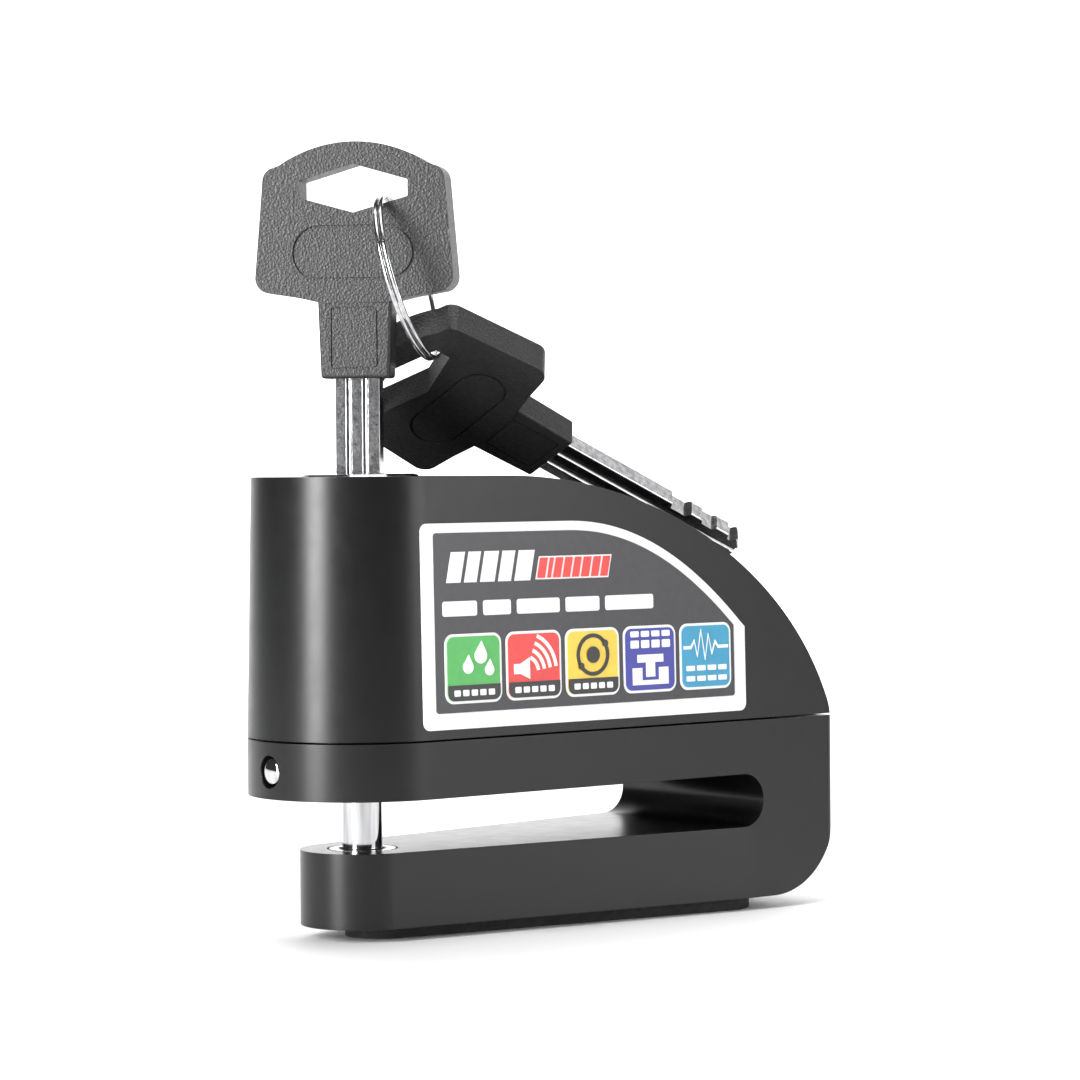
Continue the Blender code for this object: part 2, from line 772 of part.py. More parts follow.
def latch(empty):
    """The bolt that holds the cylinder down, and the small spring behind it."""
    bolt = block("latch_bolt", (1.5, -2, 40.6), (10.9, 2, 43.0))
    part(bolt, STEEL, empty)
    turns = [
        (
            -2.7 + 3.8 * i / 48,
            0.9 * math.cos(2 * math.pi * i / 12),
            41.75 + 0.9 * math.sin(2 * math.pi * i / 12),
        )
        for i in range(49)
    ]
    part(tube("latch_spring", turns, 0.18), STEEL, empty)


def bow_outline():
    """A key's bow: nearly square, wider at its shoulders, with an arched end."""
    rise = 3.4
    across = BOW_SIDE - 2.0
    radius = (across**2 + rise**2) / (2 * rise)
    half_angle = math.degrees(math.asin(across / radius))
    crown = arc((0, BOW_TOP - radius), radius, 90 - half_angle, 90 + half_angle, 10)
    right = [(12.6, 0.4), (BOW_SHOULDER - 0.4, 1.7), (BOW_SHOULDER, 3.4), (BOW_SIDE, 17.6)]
    left = [(-u, s) for u, s in right[::-1]]
    return [(5.0, -0.8)] + right + crown + left + [(-5.0, -0.8)]


def bow_hole():
    return [(8.2, 15.0), (8.2, 17.2), (0, 19.7), (-8.2, 17.2), (-8.2, 15.0), (0, 12.5)]


def key(prefix, frame, empty):
    """A key: a plastic bow moulded over the tang of a steel blade with milled grooves."""
    half = KEY_THICK / 2
    bow = slab(f"{prefix}_bow", [bow_outline(), bow_hole()], -half, half)
    neck = slab(
        f"{prefix}_neck",
        [[(-5.7, 1.0), (5.7, 1.0), (5.2, -NECK_LENGTH), (-5.2, -NECK_LENGTH)]],
        0.2 - half,
        half - 0.2,
    )
    tang_half, tang_thick = BLADE_WIDTH / 2 + GAP, BLADE_THICK / 2 + GAP
    pocket = block(
        f"{prefix}_pocket",
        (-tang_half, -NECK_LENGTH - 1, -tang_thick),
        (tang_half, TANG - NECK_LENGTH + GAP, tang_thick),
    )
    join(bow, moved(neck, frame))
    cut(bow, moved(pocket, frame))
    part(moved(bow, frame), KEY_PLASTIC, empty)

    tip = -NECK_LENGTH - BLADE_LENGTH
    half_width, half_thick = BLADE_WIDTH / 2, BLADE_THICK / 2
    outline = [
        (half_width, TANG - NECK_LENGTH),
        (-half_width, TANG - NECK_LENGTH),
        (-half_width, tip + 1.2),
        (1.2 - half_width, tip),
        (half_width - 1.2, tip),
        (half_width, tip + 1.2),
    ]
    blade = slab(f"{prefix}_blade", [outline], -half_thick, half_thick)
    for side in (1, -1):
        for lane in (1, -1):
            groove = block(
                f"{prefix}_groove_{side}_{lane}",
                (lane * 1.25 - 0.45, tip - 1, half_thick - 0.55),
                (lane * 1.25 + 0.45, -NECK_LENGTH + 0.2, half_thick + 1),
            )
            if side < 0:
                groove.data.transform(Matrix.Rotation(math.pi, 4, "Y"))
            cut(blade, moved(groove, frame))
        for number, (start, length, depth) in enumerate(BLADE_CUTS):
            notch = block(
                f"{prefix}_cut_{side}_{number}",
                (half_width - depth, tip + start, -half_thick - 1),
                (half_width + 1, tip + start + length, half_thick + 1),
            )
            if side < 0:
                notch.data.transform(Matrix.Rotation(math.pi, 4, "Y"))
            cut(blade, moved(notch, frame))
    part(moved(blade, frame), CHROME, empty)


def view_vector(across, away, up):
    """A vector from its parts across, away from and up in the plane of the keys."""
    right = Vector((math.cos(VIEW_TURN), math.sin(VIEW_TURN), 0))
    back = Vector((-math.sin(VIEW_TURN), math.cos(VIEW_TURN), 0))
    return right * across + back * away + Vector((0, 0, up))


def ring_directions():
    """The ring's centre and two directions in its plane, down through the keys and away."""
    centre = view_vector(RING_ACROSS, 0, RING_Z)
    steep = math.sqrt(1 - RING_LEAN**2)
    down = view_vector(RING_LEAN, 0, -steep)
    tilt = view_vector(steep, 0, RING_LEAN)
    away = view_vector(0, math.cos(RING_SKEW), 0) + tilt * math.sin(RING_SKEW)
    return centre, down, away


def split_ring(empty):
    """Two turns of wire side by side."""
    centre, down, away = ring_directions()
    axle = down.cross(away)
    per_turn = 28
    count = 2 * per_turn - 2
    points = []
    for i in range(count + 1):
        angle = math.pi / 2 + 2 * math.pi * i / per_turn
        offset = RING_SPREAD * (i / count - 0.5)
        points.append(
            centre
            + (down * math.cos(angle) + away * math.sin(angle)) * RING_RADIUS
            + axle * offset
        )
    part(tube("split_ring", points, RING_WIRE), CHROME, empty)


def spare_frame():
    """The spare key's frame: its blade points back and down, its face to the near side."""
    heading = Vector((math.cos(SPARE_HEADING), math.sin(SPARE_HEADING), 0))
    level = Vector((-math.sin(SPARE_HEADING), math.cos(SPARE_HEADING), 0))
    blade = heading * math.cos(SPARE_DIP) - Vector((0, 0, math.sin(SPARE_DIP)))
    below = -heading * math.sin(SPARE_DIP) - Vector((0, 0, math.cos(SPARE_DIP)))
    across = level * math.cos(SPARE_ROLL) + below * math.sin(SPARE_ROLL)
    return key_frame(-blade, across, SPARE_BOW)


def build():
    lower_body()
    upper_cover()
    gasket()
    base_pad()
    label_plate()
    guide_bush()
    jaw_bush()
    retaining_pin()
    cover_screws()
    circuit_board()
    siren()
    batteries()
    small_electronics()
    plunger_joint = joint("plunger_slide", (0, 0, BARREL_LOW_Z))
    plunger(plunger_joint)
    core_joint = joint("core_turn", (0, 0, CORE_LOW_Z), plunger_joint)
    lock_core(core_joint)
    latch(joint("latch_slide", (1.5, 0, 41.8), plunger_joint))
    switch_joint = joint("switch_slide", (7.9, 0, 36))
    part(block("switch_button", (7.2, -0.8, 35.7), (8.6, 0.8, BARREL_LOW_Z - GAP)), RUBBER, switch_joint)
    key_joint = joint("key_slide", (0, 0, KEY_BOW_Z), core_joint)
    key("key", turned_key_frame(), key_joint)
    centre, down, _ = ring_directions()
    ring_joint = joint("ring_swing", centre - down * RING_RADIUS, key_joint)
    split_ring(ring_joint)
    spare_joint = joint("spare_swing", centre + down * RING_RADIUS, ring_joint)
    key("spare_key", spare_frame(), spare_joint)


build()
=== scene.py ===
"""The looks of a push-down disc brake lock: its painted castings, label, keys, split ring and pin.

Pieces are modelled in millimetres in the frame's own axes and scaled to metres as they are made.
Z runs up the locking pin, X to the rear, and the label is on the -Y side.
"""

import math

import bmesh
import bpy
from mathutils import Matrix, Vector


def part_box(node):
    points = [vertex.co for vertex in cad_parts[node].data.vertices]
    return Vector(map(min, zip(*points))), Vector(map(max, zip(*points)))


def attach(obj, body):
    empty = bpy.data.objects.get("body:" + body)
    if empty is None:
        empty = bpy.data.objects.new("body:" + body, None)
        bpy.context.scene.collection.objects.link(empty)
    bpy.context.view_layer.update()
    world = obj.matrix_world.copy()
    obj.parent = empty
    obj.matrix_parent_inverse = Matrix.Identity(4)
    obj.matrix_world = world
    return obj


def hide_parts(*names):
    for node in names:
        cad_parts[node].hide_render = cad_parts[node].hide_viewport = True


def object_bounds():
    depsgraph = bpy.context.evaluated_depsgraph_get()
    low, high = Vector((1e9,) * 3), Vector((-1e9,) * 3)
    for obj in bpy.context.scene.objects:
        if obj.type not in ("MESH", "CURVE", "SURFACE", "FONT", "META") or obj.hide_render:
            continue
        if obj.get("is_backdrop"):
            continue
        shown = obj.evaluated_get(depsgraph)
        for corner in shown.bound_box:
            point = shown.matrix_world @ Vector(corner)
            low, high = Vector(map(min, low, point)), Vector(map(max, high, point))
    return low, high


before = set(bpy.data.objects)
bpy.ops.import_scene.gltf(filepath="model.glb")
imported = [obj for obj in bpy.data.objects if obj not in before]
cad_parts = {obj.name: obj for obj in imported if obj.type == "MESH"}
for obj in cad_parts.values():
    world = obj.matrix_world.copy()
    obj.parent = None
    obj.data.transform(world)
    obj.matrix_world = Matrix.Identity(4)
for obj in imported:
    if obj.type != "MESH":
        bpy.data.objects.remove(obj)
cad_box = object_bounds()

MM = 0.001
WELD = 1e-7
SHARP = math.radians(32)
FLAT = Matrix.Identity(4)
UPRIGHT = Matrix.Rotation(math.radians(90), 4, "X")


def span(node):
    """A CAD node's lowest and highest corners, in millimetres."""
    low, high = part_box(node)
    return Vector(low) / MM, Vector(high) / MM


def screw_places():
    """The middle of each cover screw, read from its box."""
    places = []
    for number in range(1, 5):
        low, high = span(f"cover_screw_{number}")
        places.append(((low.x + high.x) / 2, (low.y + high.y) / 2))
    return places


COVER_LOW, COVER_HIGH = span("upper_cover")
BODY_LOW, BODY_HIGH = span("lower_body")
PIN_LOW, PIN_HIGH = span("locking_pin")
BARREL_LOW, BARREL_HIGH = span("lock_cylinder")
CORE_LOW, CORE_HIGH = span("lock_core")
LABEL_LOW, LABEL_HIGH = span("label_plate")
PAD_LOW, PAD_HIGH = span("base_pad")
HALF_WIDTH = BODY_HIGH.y
REAR_X = BODY_HIGH.x
SEAM_LOW, SEAM_HIGH = BODY_HIGH.z, COVER_LOW.z
COVER_TOP = COVER_HIGH.z
JAW_TOP = span("jaw_bush")[1].z
SLOT_ROOF = span("guide_bush")[0].z
PIN = PIN_HIGH.x
BARREL = BARREL_HIGH.x
CORE = CORE_HIGH.x
BORE = BARREL + 0.3
SCREW_PLACES = screw_places()
SCREW_TOP = span("cover_screw_1")[1].z

# Shape of the castings beyond what the boxes say.
REAR_CORNER = 1.5
BOTTOM_CORNER = 13.0
SLOT_END_X = 65.9
JAW_NOSE = 9.3
JAW_FLARE_END_X = 63.0
CURVE_START_X = 15.0
CURVE_CENTRE_Z = 20.3
CURVE_REACH = 67.2
CURVE_POWER = 1.96
DRAFT = 0.048
TOP_ROUND = 2.3
WALL = 2.4
BAY_FRONT_X = 19.0
SCREW_SHAFT = 1.25
SCREW_HEAD = 2.6
SCREW_HEAD_HEIGHT = 1.8
THREAD_PITCH = 0.5
SOUND_HOLE_X = 30.0
SOUND_HOLE_PITCH = 4.0

# The label and its tiles. Its top runs straight to the curve's start, then bends down to the corner.
LABEL_CURVE_X = 26.5
LABEL_CORNER_Z = 44.5
FILM = 0.10
TILE_LOW, TILE_HIGH = 35.2, 45.4
TILE_PITCH = 11.45
TILE_WIDTH = 10.6
TILE_BAND = 2.7

# The cylinder's inside: the cross pin, the channel for the latch bolt and the core's floor.
CROSS_PIN_Z = 38.9
CROSS_HOLE = 1.0
LATCH_HALF_WIDTH = 2.3
LATCH_GROOVE_HALF_WIDTH = 2.6
CORE_FLOOR_Z = 43.2
SEAL_GROOVE = (64.7, 66.3)
SEAL_GROOVE_RADIUS = 7.75

# The keys, in their own frame: S up the bow, U across it, N through it.
KEY_THICK = 5.0
NECK_LENGTH = 12.0
BLADE_LENGTH = 37.0
BLADE_WIDTH = 7.0
BLADE_THICK = 2.8
TANG = 7.5
KEY_TURN = math.radians(-49.6)
KEY_BOW_Z = 95.0
BOW_SIDE = 13.9
BOW_SHOULDER = 15.0
BOW_TOP = 23.0
BLADE_CUTS = [(2.0, 1.2, 0.9), (6.2, 2.6, 0.7), (11.6, 3.4, 1.0)]
SPARE_BOW = Vector((25.77, 0.43, 77.64))
SPARE_HEADING = math.radians(-7.62)
SPARE_DIP = math.radians(25.55)
SPARE_ROLL = math.radians(32.51)

# The split ring, in the plane that the camera sees the keys in.
VIEW_TURN = math.radians(-39.6)
RING_RADIUS = 12.5
RING_WIRE = 0.36
RING_SPREAD = 1.5
RING_ACROSS = 7.5
RING_Z = 98.0
RING_LEAN = 0.267
RING_SKEW = math.radians(10.7)

CAMERA_AT = Vector((-324.9, -435.2, 70.4)) * MM
CAMERA_LENS = 121.7
CAMERA_YAW = math.radians(39.57)
CAMERA_PITCH = math.radians(1.22)
CAMERA_ROLL = math.radians(-0.44)


# ---------------------------------------------------------------- materials


class Look:
    """A material with its Principled shader, and short ways to add procedural detail to it."""

    def __init__(self, name, colour, roughness, metallic=0.0, **sockets):
        self.material = bpy.data.materials.new(name)
        self.material.use_nodes = True
        self.nodes = self.material.node_tree.nodes
        self.links = self.material.node_tree.links
        self.shader = self.nodes["Principled BSDF"]
        self.colour = colour
        self.roughness = roughness
        self.shader.inputs["Base Color"].default_value = (*colour, 1.0)
        self.shader.inputs["Roughness"].default_value = roughness
        self.shader.inputs["Metallic"].default_value = metallic
        for socket, value in sockets.items():
            self.shader.inputs[socket.replace("_", " ")].default_value = value
        self.place = self.nodes.new("ShaderNodeTexCoord").outputs["Object"]
        self.bumps = None

    def noise(self, size, detail=3.0, stretch=(1, 1, 1)):
        """Noise whose features are about size millimetres across."""
        mapping = self.nodes.new("ShaderNodeMapping")
        mapping.inputs["Scale"].default_value = [s / (size * MM) for s in stretch]
        self.links.new(self.place, mapping.inputs["Vector"])
        texture = self.nodes.new("ShaderNodeTexNoise")
        texture.inputs["Scale"].default_value = 1.0
        texture.inputs["Detail"].default_value = detail
        self.links.new(mapping.outputs["Vector"], texture.inputs["Vector"])
        return texture.outputs["Fac"]

    def cells(self, size):
        mapping = self.nodes.new("ShaderNodeMapping")
        mapping.inputs["Scale"].default_value = [1 / (size * MM)] * 3
        self.links.new(self.place, mapping.inputs["Vector"])
        texture = self.nodes.new("ShaderNodeTexVoronoi")
        texture.inputs["Scale"].default_value = 1.0
        self.links.new(mapping.outputs["Vector"], texture.inputs["Vector"])
        return texture.outputs["Distance"]

    def spread(self, factor, low, high):
        """A number between low and high as the factor goes across its middle range."""
        ranged = self.nodes.new("ShaderNodeMapRange")
        ranged.inputs["From Min"].default_value = 0.3
        ranged.inputs["From Max"].default_value = 0.7
        ranged.inputs["To Min"].default_value = low
        ranged.inputs["To Max"].default_value = high
        self.links.new(factor, ranged.inputs["Value"])
        return ranged.outputs["Result"]

    def vary_roughness(self, factor, amount):
        value = self.spread(factor, self.roughness - amount, self.roughness + amount)
        self.links.new(value, self.shader.inputs["Roughness"])
        return self

    def vary_colour(self, factor, low, high):
        """Colour scaled between low and high times its own value."""
        mix = self.nodes.new("ShaderNodeMix")
        mix.data_type = "RGBA"
        mix.inputs["A"].default_value = (*[c * low for c in self.colour], 1.0)
        mix.inputs["B"].default_value = (*[min(c * high, 1.0) for c in self.colour], 1.0)
        self.links.new(self.spread(factor, 0.0, 1.0), mix.inputs["Factor"])
        self.links.new(mix.outputs["Result"], self.shader.inputs["Base Color"])
        return self

    def bump(self, factor, depth, strength=1.0):
        """Raises the surface by about depth millimetres with the factor."""
        bump = self.nodes.new("ShaderNodeBump")
        bump.inputs["Strength"].default_value = strength
        bump.inputs["Distance"].default_value = depth * MM
        self.links.new(factor, bump.inputs["Height"])
        if self.bumps:
            self.links.new(self.bumps, bump.inputs["Normal"])
        self.bumps = bump.outputs["Normal"]
        self.links.new(self.bumps, self.shader.inputs["Normal"])
        return self


def black_paint():
    """Satin powder coat: a faint orange peel, fine specks and a slightly uneven gloss."""
    look = Look("black_powder_coat", (0.003, 0.003, 0.0032), 0.30, 0.0, Specular_IOR_Level=0.42)
    look.vary_colour(look.noise(6.0, 5.0), 0.85, 1.2)
    look.vary_roughness(look.noise(2.5, 4.0), 0.02)
    look.bump(look.noise(0.9, 2.0), 0.004, 0.4)
    return look.bump(look.noise(0.22, 2.0), 0.002, 0.35)


def key_plastic():
    """Spark-eroded black plastic, with a grain that catches the light."""
    look = Look("grained_key_plastic", (0.014, 0.014, 0.015), 0.44, 0.0, Specular_IOR_Level=0.5)
    look.vary_colour(look.noise(0.5, 4.0), 0.65, 1.5)
    look.vary_roughness(look.noise(0.3, 2.0), 0.10)
    look.bump(look.cells(0.36), 0.08, 0.7)
    return look.bump(look.noise(0.20, 3.0), 0.05, 0.55)


def chrome(name="bright_plate", roughness=0.09, stretch=(1, 1, 0.08)):
    """Bright plate with faint drawing marks along Z."""
    look = Look(name, (0.56, 0.56, 0.57), roughness, 1.0)
    look.vary_colour(look.noise(0.9, 3.0, stretch), 0.72, 1.2)
    look.vary_roughness(look.noise(0.35, 3.0, stretch), 0.04)
    return look.bump(look.noise(0.25, 2.0, stretch), 0.002, 0.5)


def bare_steel():
    """Machined steel with fine turning marks."""
    look = Look("machined_steel", (0.52, 0.52, 0.54), 0.28, 1.0)
    look.vary_colour(look.noise(2.0, 4.0), 0.85, 1.1)
    look.vary_roughness(look.noise(0.4, 3.0), 0.07)
    return look.bump(look.noise(0.3, 2.0, (0.3, 0.3, 2.0)), 0.004, 0.5)


def brass():
    look = Look("brass", (0.70, 0.50, 0.20), 0.26, 1.0)
    look.vary_colour(look.noise(1.5, 4.0), 0.8, 1.1)
    look.vary_roughness(look.noise(0.5), 0.08)
    return look.bump(look.noise(0.25), 0.003, 0.5)


def rubber():
    look = Look("black_rubber", (0.016, 0.016, 0.016), 0.78)
    look.vary_colour(look.noise(1.5, 5.0), 0.7, 1.4)
    look.vary_roughness(look.noise(0.5), 0.08)
    return look.bump(look.cells(0.5), 0.03, 0.4)


def moulded_plastic(name, colour):
    """Moulded plastic with a fine grain and a little colour drift."""
    look = Look(name, colour, 0.5)
    look.vary_colour(look.noise(2.0, 4.0), 0.85, 1.15)
    look.vary_roughness(look.noise(0.5), 0.06)
    return look.bump(look.noise(0.2, 2.0), 0.006, 0.5)


def circuit_green():
    """Solder mask over faint tracks."""
    look = Look("solder_mask", (0.012, 0.13, 0.045), 0.35)
    look.vary_colour(look.cells(1.6), 0.7, 1.5)
    look.vary_roughness(look.noise(0.5), 0.06)
    return look.bump(look.cells(1.6), 0.02, 0.5)


def print_ink(name, colour, drift=0.05):
    """Printed ink under a satin film, with the faintest mottle."""
    look = Look(name, colour, 0.36, 0.0, Coat_Weight=0.25, Coat_Roughness=0.25)
    look.vary_colour(look.noise(1.2, 5.0), 1 - drift, 1 + drift)
    look.vary_roughness(look.noise(0.6), 0.04)
    return look.bump(look.noise(0.4, 2.0), 0.002, 0.4)


PAINT = black_paint()
PLASTIC = key_plastic()
CHROME = chrome()
KEY_STEEL = chrome("key_plate", 0.16, (1, 1, 1))
STEEL = bare_steel()
BRASS = brass()
RUBBER = rubber()
HOLDER = moulded_plastic("dark_holder", (0.04, 0.04, 0.045))
BOARD = circuit_green()
RED_SLEEVE = moulded_plastic("red_sleeve", (0.5, 0.02, 0.02))
BLACK_SLEEVE = moulded_plastic("black_sleeve", (0.012, 0.012, 0.012))
WHITE_INK = print_ink("white_print", (0.90, 0.90, 0.89), 0.02)
FIELD_INK = print_ink("dark_print", (0.034, 0.033, 0.040), 0.12)
BLACK_INK = print_ink("black_print", (0.012, 0.012, 0.013))
RED_INK = print_ink("red_print", (0.76, 0.045, 0.040))
GREEN_INK = print_ink("green_print", (0.072, 0.43, 0.085))
YELLOW_INK = print_ink("yellow_print", (0.86, 0.60, 0.055))
BLUE_INK = print_ink("blue_print", (0.040, 0.045, 0.34))
CYAN_INK = print_ink("cyan_print", (0.032, 0.31, 0.51))


# ---------------------------------------------------------------- mesh tools


def link(obj):
    bpy.context.scene.collection.objects.link(obj)
    return obj


def evaluated(obj):
    """Turns an object's evaluated shape into its own mesh, with its modifiers gone."""
    bpy.context.view_layer.update()
    graph = bpy.context.evaluated_depsgraph_get()
    mesh = bpy.data.meshes.new_from_object(obj.evaluated_get(graph))
    old = obj.data
    obj.modifiers.clear()
    obj.data = mesh
    if old.users == 0:
        bpy.data.meshes.remove(old)
    return obj


def settle(source, name):
    """A source object's evaluated shape as a welded mesh object in world space, its faces out."""
    bpy.context.view_layer.update()
    graph = bpy.context.evaluated_depsgraph_get()
    mesh = bpy.data.meshes.new_from_object(source.evaluated_get(graph))
    mesh.transform(source.matrix_world)
    bpy.data.objects.remove(source, do_unlink=True)
    bm = bmesh.new()
    bm.from_mesh(mesh)
    bmesh.ops.remove_doubles(bm, verts=bm.verts, dist=WELD)
    bmesh.ops.recalc_face_normals(bm, faces=bm.faces)
    if bm.calc_volume(signed=True) < 0:
        bmesh.ops.reverse_faces(bm, faces=bm.faces)
    bm.to_mesh(mesh)
    bm.free()
    return link(bpy.data.objects.new(name, mesh))


def slab(name, outlines, low, high, plane=FLAT):
    """A flat outline, with any further outlines as holes in it, between two heights."""
    curve = bpy.data.curves.new(name, "CURVE")
    curve.dimensions = "2D"
    curve.fill_mode = "BOTH"
    curve.extrude = (high - low) / 2 * MM
    for outline in outlines:
        spline = curve.splines.new("POLY")
        spline.points.add(len(outline) - 1)
        for point, (x, y) in zip(spline.points, outline):
            point.co = (x * MM, y * MM, 0, 1)
        spline.use_cyclic_u = True
    source = link(bpy.data.objects.new(name, curve))
    source.matrix_world = plane @ Matrix.Translation((0, 0, (low + high) / 2 * MM))
    return settle(source, name)


def side_slab(name, outlines):
    return slab(name, outlines, -HALF_WIDTH - 5, HALF_WIDTH + 5, UPRIGHT)


def turned(name, profile, steps=72):
    """A profile of radius and height turned about Z."""
    mesh = bpy.data.meshes.new(name)
    count = len(profile)
    closed = profile[0][0] > 0 or profile[-1][0] > 0
    edges = [(i, (i + 1) % count) for i in range(count if closed else count - 1)]
    mesh.from_pydata([(r * MM, 0, z * MM) for r, z in profile], edges, [])
    source = link(bpy.data.objects.new(name, mesh))
    screw = source.modifiers.new("turn", "SCREW")
    screw.steps = screw.render_steps = steps
    screw.use_merge_vertices = True
    screw.merge_threshold = WELD
    return settle(source, name)


def rod(name, radius, low, high, steps=48):
    return turned(name, [(0, high), (radius, high), (radius, low), (0, low)], steps)


def tube(name, points, radius):
    """A round wire through the points."""
    curve = bpy.data.curves.new(name, "CURVE")
    curve.dimensions = "3D"
    curve.bevel_depth = radius * MM
    curve.bevel_resolution = 4
    curve.use_fill_caps = True
    spline = curve.splines.new("POLY")
    spline.points.add(len(points) - 1)
    for point, place in zip(spline.points, points):
        point.co = (*(Vector(place) * MM), 1)
    return settle(link(bpy.data.objects.new(name, curve)), name)


def block(name, low, high):
    bm = bmesh.new()
    bmesh.ops.create_cube(bm, size=1)
    for vert in bm.verts:
        vert.co = Vector(a + (b - a) * (c + 0.5) for a, b, c in zip(low, high, vert.co)) * MM
    mesh = bpy.data.meshes.new(name)
    bm.to_mesh(mesh)
    bm.free()
    return link(bpy.data.objects.new(name, mesh))


def moved(obj, matrix):
    """The same object, its mesh moved by a matrix in millimetres."""
    scaled = matrix.copy()
    scaled.translation = matrix.translation * MM
    obj.data.transform(scaled)
    return obj


def at(x, y, z=0.0):
    return Matrix.Translation((x, y, z))


def along_x(x, y, z):
    return at(x, y, z) @ Matrix.Rotation(math.radians(90), 4, "Y")


def along_y(x, y, z):
    return at(x, y, z) @ Matrix.Rotation(math.radians(-90), 4, "X")


def combine(obj, operation, *others):
    """Applies a Boolean with each other object, and removes them."""
    for other in others:
        modifier = obj.modifiers.new(operation.lower(), "BOOLEAN")
        modifier.operation = operation
        modifier.object = other
    evaluated(obj)
    for other in others:
        bpy.data.objects.remove(other, do_unlink=True)
    return obj


def cut(obj, *others):
    return combine(obj, "DIFFERENCE", *others)


def tidy_faces(obj):
    """Joins the flat faces that a Boolean split, so that a bevel runs clean along each edge."""
    bm = bmesh.new()
    bm.from_mesh(obj.data)
    bmesh.ops.remove_doubles(bm, verts=bm.verts, dist=2e-6)
    bmesh.ops.dissolve_limit(bm, angle_limit=math.radians(0.6), verts=bm.verts, edges=bm.edges)
    bm.to_mesh(obj.data)
    bm.free()
    return obj


def rounded_edges(obj, width, segments=3, weight=None):
    """Rounds the sharp edges. weight gives an edge's share of the width from its middle."""
    bm = bmesh.new()
    bm.from_mesh(obj.data)
    layer = bm.edges.layers.float.new("bevel_weight_edge")
    for edge in bm.edges:
        if len(edge.link_faces) == 2 and edge.calc_face_angle() > SHARP:
            middle = (edge.verts[0].co + edge.verts[1].co) / 2 / MM
            edge[layer] = weight(middle) if weight else 1.0
    bm.to_mesh(obj.data)
    bm.free()
    bevel = obj.modifiers.new("round", "BEVEL")
    bevel.width = width * MM
    bevel.segments = segments
    bevel.limit_method = "WEIGHT"
    bevel.use_clamp_overlap = True
    bevel.miter_outer = "MITER_ARC"
    return evaluated(obj)


def finish(obj, look, body, slot, *nodes, angle=35):
    """Gives a piece its material and shading, and ties it to its body and the nodes it stands for."""
    obj.data.materials.clear()
    obj.data.materials.append(look.material)
    obj.data.shade_smooth()
    obj.data.set_sharp_from_angle(angle=math.radians(angle))
    weighted = obj.modifiers.new("weighted", "WEIGHTED_NORMAL")
    weighted.keep_sharp = True
    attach(obj, body)
    if nodes:
        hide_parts(*nodes)
    return obj


def arc(centre, radius, start, end, steps):
    """Points round a circle between two angles in degrees."""
    angles = [math.radians(start + (end - start) * i / steps) for i in range(steps + 1)]
    return [(centre[0] + radius * math.cos(a), centre[1] + radius * math.sin(a)) for a in angles]


def rounded(x0, y0, x1, y1, radius, steps=5):
    """A rectangle with round corners."""
    return (
        arc((x1 - radius, y0 + radius), radius, -90, 0, steps)
        + arc((x1 - radius, y1 - radius), radius, 0, 90, steps)
        + arc((x0 + radius, y1 - radius), radius, 90, 180, steps)
        + arc((x0 + radius, y0 + radius), radius, 180, 270, steps)
    )


# ---------------------------------------------------------------- the castings


def body_plan(inset=0.0):
    """The body from above: a round nose as wide as the body, and small round corners behind."""
    half = HALF_WIDTH - inset
    rear = REAR_X - inset
    corner = max(REAR_CORNER - inset, 0.3)
    return (
        arc((0, 0), half, 90, 270, 72)
        + arc((rear - corner, -half + corner), corner, -90, 0, 6)
        + arc((rear - corner, half - corner), corner, 0, 90, 6)
    )


def jaw_plan():
    """The jaw from above: a narrower nose that flares out to the body's full width."""
    flare = math.degrees(math.atan2(HALF_WIDTH - JAW_NOSE, JAW_FLARE_END_X))
    wide = HALF_WIDTH + 1
    return arc((0, 0), JAW_NOSE, 90 + flare, 270 - flare, 48) + [
        (JAW_FLARE_END_X, -HALF_WIDTH),
        (JAW_FLARE_END_X, -wide),
        (REAR_X + 1, -wide),
        (REAR_X + 1, wide),
        (JAW_FLARE_END_X, wide),
        (JAW_FLARE_END_X, HALF_WIDTH),
    ]


def top_curve(end, inset=0.0):
    """The cover's back from the side: nearly a quarter ellipse, from its flat top down to a height."""
    reach = CURVE_REACH - inset
    rise = COVER_TOP - CURVE_CENTRE_Z - inset
    bend = 2 / CURVE_POWER
    steps = 56
    lowest = math.asin(((end - CURVE_CENTRE_Z) / rise) ** (1 / bend))
    angles = [lowest * i / steps + math.pi / 2 * (1 - i / steps) for i in range(steps + 1)]
    return [
        (
            CURVE_START_X + reach * max(math.cos(a), 0) ** bend,
            CURVE_CENTRE_Z + rise * math.sin(a) ** bend,
        )
        for a in angles
    ]


def drafted(obj):
    """Leans the cover's walls in a little towards the top, as a casting's do."""
    for vert in obj.data.vertices:
        height = max(vert.co.z / MM - SEAM_HIGH, 0.0) / (COVER_TOP - SEAM_HIGH)
        share = 1 - DRAFT * height
        vert.co.y *= share
        if vert.co.x < 0:
            vert.co.x *= share
    return obj


def cover_bay():
    """The hollow that holds the alarm, less the bosses for the two screws behind it."""
    low = SEAM_HIGH
    front = BAY_FRONT_X - 3
    roof = [(x, z) for x, z in top_curve(low - 2, WALL + 0.4)[::-1] if x > front + 1]
    profile = [(front, low - 2)] + roof + [(front, COVER_TOP - WALL - 0.4)]
    side = HALF_WIDTH - 2.6
    bay = slab("bay", [rounded(BAY_FRONT_X, -side, REAR_X - 3, side, 2)], low - 1, COVER_TOP)
    combine(bay, "INTERSECT", side_slab("bay_profile", [profile]))
    for x, y in SCREW_PLACES:
        if x > SLOT_END_X:
            sides = sorted((y - math.copysign(3, y), math.copysign(HALF_WIDTH, y)))
            cut(bay, block("boss", (x - 3, sides[0], low - 3), (REAR_X + 1, sides[1], SCREW_TOP + 2)))
    return bay


